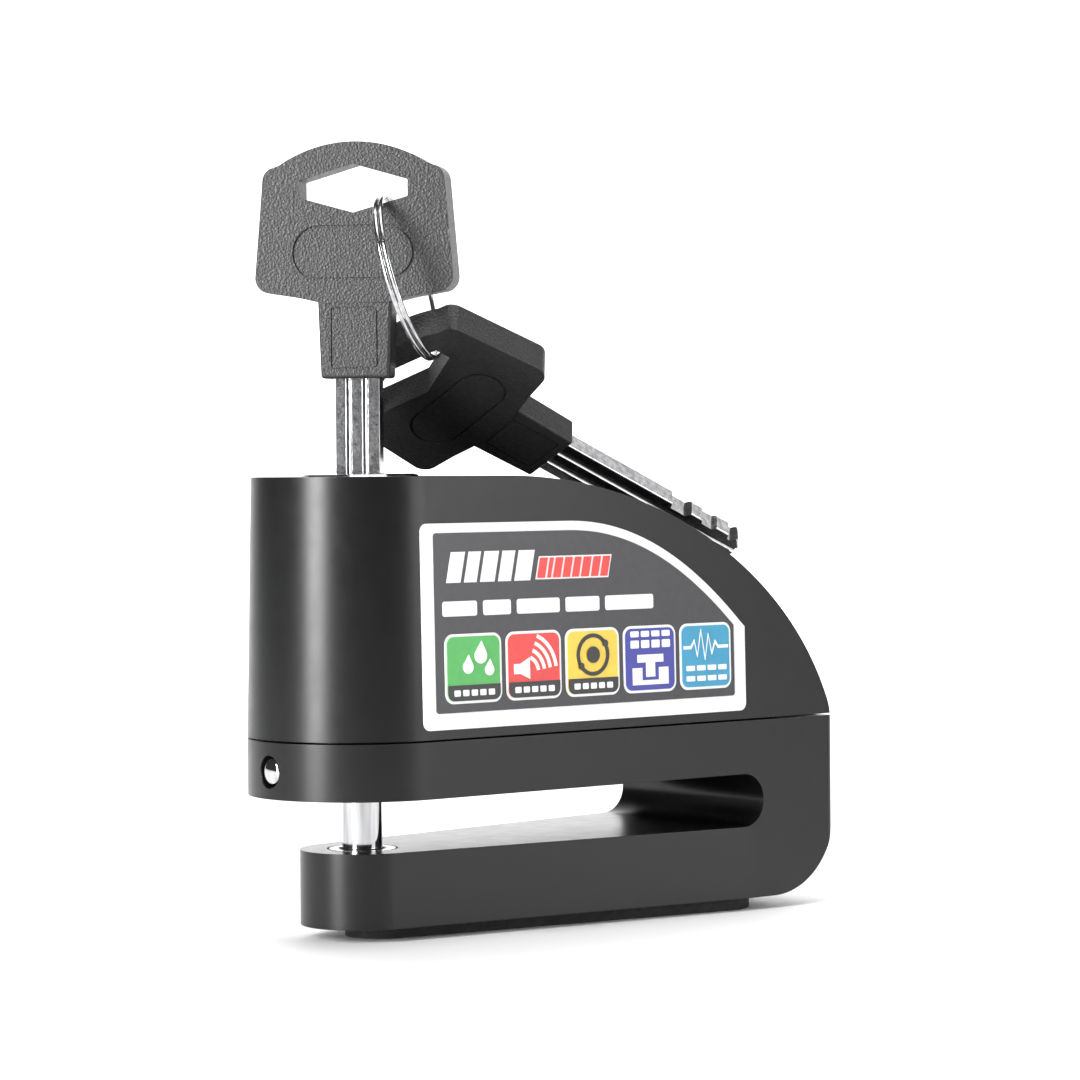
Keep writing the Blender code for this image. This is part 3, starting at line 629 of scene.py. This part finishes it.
def upper_cover():
    """The cover's shell, with a soft rim along its back and a crisp lower edge."""
    low = SEAM_HIGH
    profile = [(-30, COVER_TOP), (-30, low - 6)] + top_curve(low - 6)[::-1]
    cover = slab("cover_shell", [body_plan()], low - 5, COVER_TOP + 1)
    combine(cover, "INTERSECT", side_slab("cover_profile", [profile]))
    tidy_faces(cover)

    def weight(middle):
        return 1.0 if middle.z > low and middle.x < REAR_X - 2.0 else 0.12

    rounded_edges(cover, TOP_ROUND, 6, weight)
    cut(cover, block("below_seam", (-30, -30, low - 8), (REAR_X + 5, 30, low)))
    rounded_edges(cover, 0.15, 2, lambda middle: 1.0 if middle.z < low + 0.01 else 0.0)
    drafted(cover)
    mouth = [(0, COVER_TOP + 1), (BORE + 1.3, COVER_TOP + 1), (BORE, COVER_TOP - 0.5)]
    groove = LATCH_GROOVE_HALF_WIDTH
    cut(
        cover,
        cover_bay(),
        turned("bore_rim", mouth + [(BORE, low - 1), (0, low - 1)], 96),
        block("latch_groove", (8, -groove, 39.4), (12, groove, 57.0)),
        block("switch_pocket", (6, -3.3, low - 1), (20, 3.3, 36.4)),
    )
    for x, y in SCREW_PLACES:
        hole = rod("pilot", SCREW_SHAFT + 0.3, low - 1, SCREW_TOP + 0.6, 36)
        cut(cover, moved(hole, at(x, y)))
    finish(cover, PAINT, "housing", "black_paint", "upper_cover", angle=30)


def dowel_seat():
    """The cutter for the dowel's hole in the nose, which opens out at its mouth."""
    low, high = span("retaining_pin")
    hole = high.y + 0.25
    lip = high.y + 1.2
    profile = [(0, -4), (hole, -4), (hole, -HALF_WIDTH + 0.75), (lip, -20), (0, -20)]
    return moved(turned("pin_seat", profile, 48), along_x(0, 0, (low.z + high.z) / 2))


def lower_body():
    """The lower casting, its edges rounded as a cast and tumbled part's are."""
    corner = arc((REAR_X - BOTTOM_CORNER, BODY_LOW.z + BOTTOM_CORNER), BOTTOM_CORNER, -90, 0, 24)
    profile = [(-30, SEAM_LOW), (-30, BODY_LOW.z)] + corner + [(REAR_X, SEAM_LOW)]
    casting = slab("lower_casting", [body_plan()], BODY_LOW.z - 1, SEAM_LOW + 1)
    combine(casting, "INTERSECT", side_slab("lower_profile", [profile]))
    middle = (JAW_TOP + SLOT_ROOF) / 2
    limits = slab("jaw_limits", [jaw_plan()], BODY_LOW.z - 2, middle)
    combine(limits, "UNION", block("above", (-30, -20, middle - 0.5), (REAR_X + 2, 20, SEAM_LOW + 2)))
    combine(casting, "INTERSECT", limits)
    radius = (SLOT_ROOF - JAW_TOP) / 2
    end = arc((SLOT_END_X - radius, middle), radius, -90, 90, 28)
    cut(casting, side_slab("disc_slot", [[(-30, JAW_TOP)] + end + [(-30, SLOT_ROOF)]]))
    tidy_faces(casting)

    def weight(middle):
        if middle.z > SEAM_LOW - 0.5:
            return 0.25
        return 1.0 if middle.z < BODY_LOW.z + 1 else 0.5

    rounded_edges(casting, 1.3, 4, weight)
    guide = span("guide_bush")[1].x
    cup_low = span("jaw_bush")[0].z
    cut(
        casting,
        rod("arm_bore", guide + 0.3, SLOT_ROOF - 1, SEAM_LOW + 1, 64),
        rod("jaw_socket", guide + 0.3, cup_low - 0.3, JAW_TOP + 1, 64),
        dowel_seat(),
        slab("groove", [body_plan(1.6), body_plan(3.4)], SEAM_LOW - 1.45, SEAM_LOW + 1),
    )
    for number, (x, y) in enumerate(SCREW_PLACES, 1):
        low = span(f"cover_screw_{number}")[0].z
        mouth = SLOT_ROOF - 1 if x < SLOT_END_X else BODY_LOW.z - 2
        cut(
            casting,
            moved(rod("clearance", SCREW_SHAFT + 0.31, low - 1, SEAM_LOW + 1, 37), at(x, y)),
            moved(rod("recess", SCREW_HEAD + 0.3, mouth, low + SCREW_HEAD_HEIGHT + 0.3, 53), at(x, y)),
        )
    holes = []
    for i in range(5):
        hole = rod("sound", 1.0, SLOT_ROOF - 1, SEAM_LOW + 1, 24)
        holes.append(moved(hole, at(SOUND_HOLE_X + SOUND_HOLE_PITCH * i, 0)))
    cut(casting, *holes)
    finish(casting, PAINT, "housing", "black_paint", "lower_body", angle=30)


def foot_pad():
    outline = arc((3.5, 0), 5.5, 105, 255, 20) + arc((60, -5), 10, -75, 0, 14) + arc((60, 5), 10, 0, 75, 14)
    pad = slab("foot_pad", [outline], PAD_LOW.z, PAD_HIGH.z)
    rounded_edges(pad, 0.45, 3)
    finish(pad, RUBBER, "housing", "rubber", "base_pad")


def cover_screws():
    """Socket head screws, their threads cut as plain rings."""
    for number, (x, y) in enumerate(SCREW_PLACES, 1):
        low = span(f"cover_screw_{number}")[0].z
        shoulder = low + SCREW_HEAD_HEIGHT
        profile = [(0, SCREW_TOP), (SCREW_SHAFT - 0.5, SCREW_TOP), (SCREW_SHAFT, SCREW_TOP - 0.7)]
        turns = int((SCREW_TOP - 1.5 - shoulder) / THREAD_PITCH)
        for turn in range(turns):
            z = SCREW_TOP - 1 - turn * THREAD_PITCH
            profile += [(SCREW_SHAFT, z), (SCREW_SHAFT - 0.22, z - THREAD_PITCH / 2)]
        profile += [(SCREW_SHAFT, shoulder), (SCREW_HEAD - 0.2, shoulder), (SCREW_HEAD, shoulder - 0.2)]
        profile += [(SCREW_HEAD, low + 0.3), (SCREW_HEAD - 0.3, low), (0, low)]
        screw = turned(f"socket_screw_{number}", profile, 36)
        cut(screw, rod("socket", 1.2, low - 1, low + 1.1, 6))
        finish(moved(screw, at(x, y)), STEEL, "housing", "steel", f"cover_screw_{number}")


def retaining_pin():
    """The bright dowel end on the nose, gently domed."""
    low, high = span("retaining_pin")
    radius, z = high.y, (low.z + high.z) / 2
    angles = [i * math.pi / 16 for i in range(9)]
    dome = [(radius * math.sin(a), low.x + 0.7 * (1 - math.cos(a))) for a in angles]
    pin = turned("dowel", dome + [(radius, high.x), (0, high.x)], 48)
    finish(moved(pin, along_x(0, 0, z)), CHROME, "housing", "chrome", "retaining_pin")


# ---------------------------------------------------------------- the label


def label_rim(inset=0.0, top_inset=None, corner=1.2):
    """The label's outline: straight at the front and below, its top following the cover's curve."""
    top_inset = inset if top_inset is None else top_inset
    left, right = LABEL_LOW.x + inset, LABEL_HIGH.x - inset
    low, top = LABEL_LOW.z + inset, LABEL_HIGH.z - top_inset
    drop = LABEL_HIGH.z - LABEL_CORNER_Z
    reach = LABEL_HIGH.x - LABEL_CURVE_X
    bend = []
    for i in range(41):
        t = i / 40
        x = LABEL_CURVE_X + reach * t
        z = LABEL_HIGH.z - drop * t**2.1
        slope = -drop * 2.1 * t**1.1 / reach
        length = math.hypot(1, slope)
        point = (x + slope * top_inset / length, z - top_inset / length)
        if point[0] < right - 0.2:
            bend.append(point)
    last = bend[-1]
    bend.append((right, last[1] - 0.9 * (right - last[0])))
    bend.reverse()
    return (
        arc((left + corner, low + corner), corner, 180, 270, 6)
        + arc((right - corner, low + corner), corner, 270, 360, 6)
        + bend
        + arc((left + corner, top - corner), corner, 90, 180, 6)
    )


def film(name, outlines, level, look):
    """A printed layer on the cover's near side, level films up from it."""
    low = HALF_WIDTH + FILM * (level - 1)
    layer = slab(name, outlines, low, low + FILM, UPRIGHT)
    drafted(layer)
    return finish(layer, look, "housing", "label")


def slanted(x0, z0, x1, z1):
    """A bar that leans to the rear."""
    shift = (z1 - z0) * 0.22
    return [(x0, z0), (x1, z0), (x1 + shift, z1), (x0 + shift, z1)]


def title_bars():
    """Slanted bars where a title would be printed, and a row of short bars under them."""
    white, red, lines = [], [], []
    x = LABEL_LOW.x + 4.6
    for width in (2.6, 2.3, 2.7, 2.4, 3.0):
        white.append(slanted(x, 52.9, x + width, 57.4))
        x += width + 0.7
    x += 0.6
    for width in (1.5, 0.7, 1.4, 1.4, 1.3, 1.5, 1.4, 1.4):
        red.append(slanted(x, 53.2, x + width, 56.2))
        x += width + 0.45
    x = LABEL_LOW.x + 3.8
    for width in (6.4, 5.2, 8.2, 6.6, 9.6):
        lines.append(rounded(x, 48.0, x + width, 50.2, 0.35, 3))
        x += width + 1.2
    film("title_white", white + lines, 3, WHITE_INK)
    edge = 0.22
    edges = [slanted(o[0][0] - edge, o[0][1] - edge, o[1][0] + edge, o[2][1] + edge) for o in red]
    film("title_red_edge", edges, 3, WHITE_INK)
    film("title_red", red, 4, RED_INK)


def tile_left(number):
    return LABEL_LOW.x + 4.0 + TILE_PITCH * number


def tiles():
    """Five rounded tiles with plain pictures: drops, sound, a round pin, a plunger and a pulse."""
    inks = (GREEN_INK, RED_INK, YELLOW_INK, BLUE_INK, CYAN_INK)
    frames = []
    for number, ink in enumerate(inks):
        left = tile_left(number)
        frames.append(rounded(left, TILE_LOW, left + TILE_WIDTH, TILE_HIGH, 1.5, 6))
        inner = rounded(left + 0.4, TILE_LOW + 0.4, left + TILE_WIDTH - 0.4, TILE_HIGH - 0.4, 1.15, 6)
        film(f"tile_{number + 1}", [inner], 4, ink)
        if number < 3:
            band = (
                arc((left + TILE_WIDTH - 1.55, TILE_LOW + 1.55), 1.15, -90, 0, 6)
                + [(left + TILE_WIDTH - 0.4, TILE_LOW + TILE_BAND), (left + 0.4, TILE_LOW + TILE_BAND)]
                + arc((left + 1.55, TILE_LOW + 1.55), 1.15, 180, 270, 6)
            )
            film(f"tile_band_{number + 1}", [band], 5, BLACK_INK)
            marks = [
                rounded(left + 1.5 + 1.6 * i, TILE_LOW + 1.1, left + 2.6 + 1.6 * i, TILE_LOW + 2.0, 0.15, 2)
                for i in range(5)
            ]
            film(f"tile_marks_{number + 1}", marks, 6, WHITE_INK)
    film("tile_frames", frames, 3, WHITE_INK)


def drop(x, z, size):
    """A water drop: a round belly that runs up to a point."""
    belly = arc((x, z), size, 205, 335, 14)
    point = (x + 0.15 * size, z + 1.9 * size)
    return belly + arc((x, z), size, -25, 25, 4)[1:] + [point] + arc((x, z), size, 155, 205, 4)[:-1]


def drops_picture():
    left = tile_left(0)
    places = [(6.6, 6.9, 1.15), (4.2, 5.3, 0.95), (8.2, 4.8, 0.85)]
    film("drops", [drop(left + x, TILE_LOW + z, size) for x, z, size in places], 5, WHITE_INK)


def sound_picture():
    """A horn and four curved waves."""
    left = tile_left(1)
    centre = (left + 3.7, TILE_LOW + 4.0)
    waves = []
    for i in range(4):
        inner = 2.1 + 1.15 * i
        waves.append(arc(centre, inner + 0.55, 8, 68, 12) + arc(centre, inner, 68, 8, 12))
    horn = [(1.4, 3.9), (2.6, 3.9), (4.4, 3.1), (4.4, 6.3), (2.6, 5.4), (1.4, 5.4)]
    film("sound_waves", waves + [[(left + x, TILE_LOW + z) for x, z in horn]], 5, WHITE_INK)


def pin_picture():
    """A ring with two dots on it, round a disc."""
    centre = (tile_left(2) + TILE_WIDTH / 2, TILE_LOW + 6.2)
    film("pin_ring", [arc(centre, 3.2, 0, 359, 40), arc(centre, 2.6, 0, 359, 40)], 5, BLACK_INK)
    dots = []
    for angle in (0.6, 3.75):
        place = (centre[0] + 2.9 * math.cos(angle), centre[1] + 2.9 * math.sin(angle))
        dots.append(arc(place, 0.55, 0, 330, 10))
    film("pin_marks", dots + [arc(centre, 1.25, 0, 350, 24)], 6, BLACK_INK)


def bar_row(x, z, width, height, pitch, radius):
    """Four short round-cornered bars side by side."""
    bars = []
    for i in range(4):
        left = x + pitch * i
        bars.append(rounded(left, z, left + width, z + height, radius, 2))
    return bars


def plunger_picture():
    """A plunger over a cup, and two rows of bars above."""
    middle = tile_left(3) + TILE_WIDTH / 2
    low = TILE_LOW + 1.2
    plunger = [(0.9, 1.2), (0.9, 3.4), (2.6, 3.4), (2.6, 4.6)]
    cup = [(3.6, 0), (3.6, 2.6), (1.7, 2.6), (1.7, 0.7)]
    shapes = []
    for half in (plunger, cup):
        right = [(middle + x, low + z) for x, z in half]
        left = [(middle - x, low + z) for x, z in half]
        shapes.append(right + left[::-1])
    rows = bar_row(middle - 3.9, low + 5.6, 1.6, 1.2, 2.1, 0.15)
    rows += bar_row(middle - 3.9, low + 7.3, 1.6, 0.9, 2.1, 0.15)
    film("plunger_picture", shapes + rows, 5, WHITE_INK)


def pulse_picture():
    """A pulse line over two rows of bars."""
    left = tile_left(4)
    base = TILE_LOW + 6.5
    beats = [(0.7, 0), (2.2, 0), (2.9, 1.0), (3.5, -1.3), (4.3, 2.6), (5.1, -1.8)]
    beats += [(5.8, 1.9), (6.5, -1.0), (7.2, 0.8), (7.8, 0), (9.9, 0)]
    upper = [(left + x, base + z + 0.25) for x, z in beats]
    lower = [(left + x, base + z - 0.25) for x, z in beats]
    rows = bar_row(left + 1.2, TILE_LOW + 2.9, 1.7, 0.8, 2.2, 0.12)
    rows += bar_row(left + 1.2, TILE_LOW + 1.3, 1.7, 0.8, 2.2, 0.12)
    film("pulse", [upper + lower[::-1]] + rows, 5, WHITE_INK)


def label():
    base = film("label_film", [label_rim()], 1, WHITE_INK)
    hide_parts("label_plate")
    film("label_field", [label_rim(2.4, 1.4, 0.5)], 2, FIELD_INK)
    title_bars()
    tiles()
    drops_picture()
    sound_picture()
    pin_picture()
    plunger_picture()
    pulse_picture()


# ---------------------------------------------------------------- the lock cylinder and pin


def cross_hole():
    """The cutter for the pin that crosses the cylinder and the locking pin."""
    return moved(rod("cross_hole", CROSS_HOLE, -12, 12, 24), along_y(0, 0, CROSS_PIN_Z))


def cylinder_body():
    """The cylinder, bored for the core from above and for the pin from below."""
    face = BARREL_HIGH.z
    low = BARREL_LOW.z
    inner = CORE + 0.3
    profile = [
        (inner, face - 0.35),
        (inner + 0.35, face),
        (BARREL - 0.9, face),
        (BARREL - 0.35, face - 0.12),
        (BARREL, face - 0.6),
        (BARREL, SEAL_GROOVE[1]),
        (SEAL_GROOVE_RADIUS, SEAL_GROOVE[1]),
        (SEAL_GROOVE_RADIUS, SEAL_GROOVE[0]),
        (BARREL, SEAL_GROOVE[0]),
        (BARREL, low + 0.4),
        (BARREL - 0.4, low),
        (0, low),
        (0, CORE_FLOOR_Z),
        (inner, CORE_FLOOR_Z),
    ]
    barrel = turned("cylinder_body", profile, 96)
    cut(
        barrel,
        rod("pin_socket", PIN + 0.3, low - 1, 39.8),
        block("latch_channel", (-5.4, -LATCH_HALF_WIDTH, 40.3), (10, LATCH_HALF_WIDTH, 44)),
        cross_hole(),
    )
    finish(barrel, CHROME, "plunger", "chrome", "lock_cylinder")


def pin_shaft():
    """The locking pin, its tip eased in two steps."""
    tip = PIN_LOW.z
    profile = [(0, PIN_HIGH.z), (PIN, PIN_HIGH.z), (PIN, tip + 1.0)]
    profile += [(PIN - 0.35, tip + 0.35), (PIN - 1.1, tip), (0, tip)]
    pin = turned("pin_shaft", profile, 72)
    cut(pin, cross_hole())
    finish(pin, CHROME, "plunger", "chrome", "locking_pin")


def core_face():
    """The core's drum, with its keyway and the slot for the side bar."""
    top = CORE_HIGH.z
    profile = [
        (0, top - 0.25),
        (CORE - 1.6, top - 0.25),
        (CORE - 1.2, top),
        (CORE - 0.25, top),
        (CORE, top - 0.25),
        (CORE, CORE_LOW.z),
        (5.0, CORE_LOW.z),
        (5.0, top - 2.6),
        (0, top - 2.6),
    ]
    core = turned("core_drum", profile, 96)
    turn = Matrix.Rotation(KEY_TURN, 4, "Z")
    half_u, half_n = BLADE_WIDTH / 2 + 0.3, BLADE_THICK / 2 + 0.3
    cut(
        core,
        moved(block("keyway", (-half_u, -half_n, 60), (half_u, half_n, 72)), turn),
        moved(block("bar_slot", (4, -0.8, 47.5), (7, 0.8, 65.5)), turn),
    )
    finish(core, STEEL, "core", "steel", "lock_core")


# ---------------------------------------------------------------- the keys and the ring


def key_frame(up, across, place):
    matrix = Matrix((across, up, across.cross(up))).transposed().to_4x4()
    matrix.translation = place
    return matrix


def lock_key_frame():
    across = Vector((math.cos(KEY_TURN), math.sin(KEY_TURN), 0))
    return key_frame(Vector((0, 0, 1)), across, Vector((0, 0, KEY_BOW_Z)))


def spare_frame():
    heading = Vector((math.cos(SPARE_HEADING), math.sin(SPARE_HEADING), 0))
    level = Vector((-math.sin(SPARE_HEADING), math.cos(SPARE_HEADING), 0))
    blade = heading * math.cos(SPARE_DIP) - Vector((0, 0, math.sin(SPARE_DIP)))
    below = -heading * math.sin(SPARE_DIP) - Vector((0, 0, math.cos(SPARE_DIP)))
    across = level * math.cos(SPARE_ROLL) + below * math.sin(SPARE_ROLL)
    return key_frame(-blade, across, SPARE_BOW)


def bow_outline():
    """The bow with its shoulders and side corners eased."""
    rise = 3.4
    across = BOW_SIDE - 2.6
    radius = (across**2 + rise**2) / (2 * rise)
    half_angle = math.degrees(math.asin(across / radius))
    crown = arc((0, BOW_TOP - radius), radius, 90 - half_angle, 90 + half_angle, 28)
    side = arc((BOW_SHOULDER - 2.3, 3.0), 2.3, -78, 4, 10)
    shoulder = arc((BOW_SIDE - 2.4, 17.2), 2.3, 4, 58, 8)
    right = [(9.0, 0.1)] + side + shoulder
    left = [(-u, s) for u, s in right[::-1]]
    return [(5.0, -0.8)] + right + crown + left + [(-5.0, -0.8)]


def bow_hole():
    """The bow's six-sided hole."""
    return [(8.2, 14.8), (8.2, 17.3), (0, 19.7), (-8.2, 17.3), (-8.2, 14.8), (0, 12.5)]


def oval(grow):
    """The oval panel on the bow's face."""
    radius = 4.1 + grow
    reach = 5.2
    return arc((reach, 6.6), radius, -90, 90, 20) + arc((-reach, 6.6), radius, 90, 270, 20)


def key_grip(prefix, placing, body):
    """The moulded bow and neck, with an outlined oval and panel on each face."""
    half = KEY_THICK / 2
    bow = slab(f"{prefix}_grip", [bow_outline(), bow_hole()], -half, half)
    rounded_edges(bow, 0.7, 3)
    neck_outline = [(-5.7, 2.0), (5.7, 2.0), (5.2, -NECK_LENGTH), (-5.2, -NECK_LENGTH)]
    neck = slab(f"{prefix}_neck", [neck_outline], 0.2 - half, half - 0.2)
    rounded_edges(neck, 0.5, 3)
    combine(bow, "UNION", neck)
    cutters = []
    for side in (-1, 1):
        flip = Matrix.Rotation(math.pi if side < 0 else 0, 4, "Y")
        cutters.append(moved(slab("panel", [oval(0.0), oval(-0.45)], half - 0.3, half + 1), flip))
        frame_lines = [rounded(-3.6, -10.6, 3.6, -1.4, 0.5, 3), rounded(-3.3, -10.3, 3.3, -1.7, 0.4, 3)]
        cutters.append(moved(slab("neck_panel", frame_lines, half - 0.42, half + 1), flip))
    tang_half, tang_thick = BLADE_WIDTH / 2 + 0.3, BLADE_THICK / 2 + 0.3
    pocket_low = (-tang_half, -NECK_LENGTH - 1, -tang_thick)
    cutters.append(block("pocket", pocket_low, (tang_half, TANG - NECK_LENGTH + 0.3, tang_thick)))
    cut(bow, *cutters)
    finish(moved(bow, placing), PLASTIC, body, "key_plastic", f"{prefix}_bow")


def key_steel(prefix, placing, body):
    """The blade: two grooves along each face, and code cuts near the tip on both edges."""
    tip = -NECK_LENGTH - BLADE_LENGTH
    half_width, half_thick = BLADE_WIDTH / 2, BLADE_THICK / 2
    outline = [
        (half_width, TANG - NECK_LENGTH),
        (-half_width, TANG - NECK_LENGTH),
        (-half_width, tip + 1.4),
        (1.4 - half_width, tip),
        (half_width - 1.4, tip),
        (half_width, tip + 1.4),
    ]
    blade = slab(f"{prefix}_steel", [outline], -half_thick, half_thick)
    rounded_edges(blade, 0.3, 3)
    cutters = []
    for side in (-1, 1):
        flip = Matrix.Rotation(math.pi if side < 0 else 0, 4, "Y")
        for lane in (-1, 1):
            groove = rod("groove", 0.62, tip - 1, -NECK_LENGTH + 0.4, 24)
            cutters.append(moved(moved(groove, along_y(lane * 1.25, 0, half_thick + 0.12)), flip))
        for start, length, depth in BLADE_CUTS:
            base = tip + start
            notch = [
                (half_width + 1, base - 0.9),
                (half_width + 1, base + length + 0.9),
                (half_width - depth, base + length - 0.2),
                (half_width - depth, base + 0.2),
            ]
            cutters.append(moved(slab("notch", [notch], -half_thick - 1, half_thick + 1), flip))
    cut(blade, *cutters)
    finish(moved(blade, placing), KEY_STEEL, body, "chrome", f"{prefix}_blade")


def view_vector(across, away, up):
    right = Vector((math.cos(VIEW_TURN), math.sin(VIEW_TURN), 0))
    back = Vector((-math.sin(VIEW_TURN), math.cos(VIEW_TURN), 0))
    return right * across + back * away + Vector((0, 0, up))


def split_ring():
    """Two turns of bright wire side by side, their ends cut square."""
    centre = view_vector(RING_ACROSS, 0, RING_Z)
    steep = math.sqrt(1 - RING_LEAN**2)
    down = view_vector(RING_LEAN, 0, -steep)
    tilt = view_vector(steep, 0, RING_LEAN)
    away = view_vector(0, math.cos(RING_SKEW), 0) + tilt * math.sin(RING_SKEW)
    axle = down.cross(away)
    per_turn = 84
    count = per_turn * 54 // 28
    points = []
    for i in range(count + 1):
        angle = math.pi / 2 + 2 * math.pi * i / per_turn
        around = (down * math.cos(angle) + away * math.sin(angle)) * RING_RADIUS
        points.append(centre + around + axle * RING_SPREAD * (i / count - 0.5))
    ring = tube("ring_wire", points, RING_WIRE)
    finish(ring, KEY_STEEL, "ring", "chrome", "split_ring")


# ---------------------------------------------------------------- the CAD nodes that stay


def carried_over():
    """Each CAD node that still shows gets its own procedural material."""
    looks = {
        "circuit_board": BOARD,
        "siren_housing": HOLDER,
        "battery_holder": HOLDER,
        "switch_body": HOLDER,
        "siren_disc": BRASS,
        "contact_plate": BRASS,
        "movement_sensor": CHROME,
        "wire_red": RED_SLEEVE,
        "wire_black": BLACK_SLEEVE,
        "cover_gasket": RUBBER,
        "cylinder_seal": RUBBER,
        "switch_button": RUBBER,
    }
    for name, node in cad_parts.items():
        look = BRASS if name.startswith("detainer_disc") else looks.get(name, STEEL)
        node.data.materials.clear()
        node.data.materials.append(look.material)


# ---------------------------------------------------------------- floor, light and camera


def stage():
    """A pale floor that sweeps up behind into a pale backdrop."""
    look = Look("pale_paper", (0.86, 0.86, 0.86), 0.7)
    look.vary_colour(look.noise(60.0), 0.995, 1.005)
    reach, radius, height = 2400, 900, 2600
    profile = [(-reach, 0), (reach - radius, 0)]
    profile += [(x, z + radius) for x, z in arc((reach - radius, 0), radius, -90, 0, 24)]
    profile.append((reach, height))
    bm = bmesh.new()
    rows = []
    for side in (-reach, reach):
        rows.append([bm.verts.new((x * MM, side * MM, z * MM)) for x, z in profile])
    for i in range(len(profile) - 1):
        bm.faces.new((rows[0][i], rows[0][i + 1], rows[1][i + 1], rows[1][i]))
    bm.normal_update()
    mesh = bpy.data.meshes.new("backdrop")
    bm.to_mesh(mesh)
    bm.free()
    backdrop = link(bpy.data.objects.new("backdrop", mesh))
    mesh.materials.append(look.material)
    mesh.shade_smooth()
    backdrop.rotation_euler.z = math.radians(90) - CAMERA_YAW
    backdrop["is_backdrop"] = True


def area(name, place, size, power, aim=(0.03, 0, 0.05)):
    """A rectangular light whose face is turned to the aim, in metres and watts."""
    light = bpy.data.lights.new(name, "AREA")
    light.shape = "RECTANGLE"
    light.size, light.size_y = size
    light.energy = power
    lamp = link(bpy.data.objects.new(name, light))
    lamp.location = place
    lamp.rotation_euler = (Vector(aim) - Vector(place)).to_track_quat("-Z", "Y").to_euler()


def lights():
    """A dim pale room with soft boxes by the nose, above, in front and at the tail."""
    world = bpy.data.worlds.new("studio")
    world.use_nodes = True
    background = world.node_tree.nodes["Background"]
    background.inputs["Color"].default_value = (1, 1, 1, 1)
    background.inputs["Strength"].default_value = 0.05
    bpy.context.scene.world = world
    area("nose_strip", (-0.85, -0.10, 0.22), (0.26, 0.9), 20)
    area("top_soft", (0.15, -0.05, 1.2), (1.0, 1.0), 9)
    area("front_soft", (0.72, -1.25, 0.5), (0.6, 1.0), 9.5)
    area("tail_soft", (0.79, -0.22, 0.55), (0.34, 0.34), 0.32)
    area("backdrop_wash", (0.9, 0.7, 1.5), (2.4, 0.8), 75, (1.3, 1.7, 0.4))


def camera():
    """The camera where the picture was taken from, level with the top of the lock."""
    right = Vector((math.cos(CAMERA_YAW), -math.sin(CAMERA_YAW), 0))
    ahead = Vector((math.sin(CAMERA_YAW), math.cos(CAMERA_YAW), 0))
    up = Vector((0, 0, 1))
    look = ahead * math.cos(CAMERA_PITCH) - up * math.sin(CAMERA_PITCH)
    head = up * math.cos(CAMERA_PITCH) + ahead * math.sin(CAMERA_PITCH)
    across = right * math.cos(CAMERA_ROLL) + head * math.sin(CAMERA_ROLL)
    head = head * math.cos(CAMERA_ROLL) - right * math.sin(CAMERA_ROLL)
    lens = bpy.data.cameras.new("camera")
    lens.lens = CAMERA_LENS
    lens.sensor_width = 36.0
    lens.clip_start = 0.01
    lens.dof.use_dof = False
    eye = link(bpy.data.objects.new("camera", lens))
    matrix = Matrix((across, head, -look)).transposed().to_4x4()
    matrix.translation = CAMERA_AT
    eye.matrix_world = matrix
    bpy.context.scene.camera = eye
    bpy.context.scene.view_settings.view_transform = "Standard"


carried_over()
upper_cover()
lower_body()
foot_pad()
cover_screws()
retaining_pin()
label()
cylinder_body()
pin_shaft()
core_face()
for piece_name, piece_frame in (("key", lock_key_frame()), ("spare_key", spare_frame())):
    key_grip(piece_name, piece_frame, piece_name)
    key_steel(piece_name, piece_frame, piece_name)
split_ring()
stage()
lights()
camera()

sizes = {"cad": cad_box, "visual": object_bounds()}
{name: [list(corner) for corner in box] for name, box in sizes.items()}
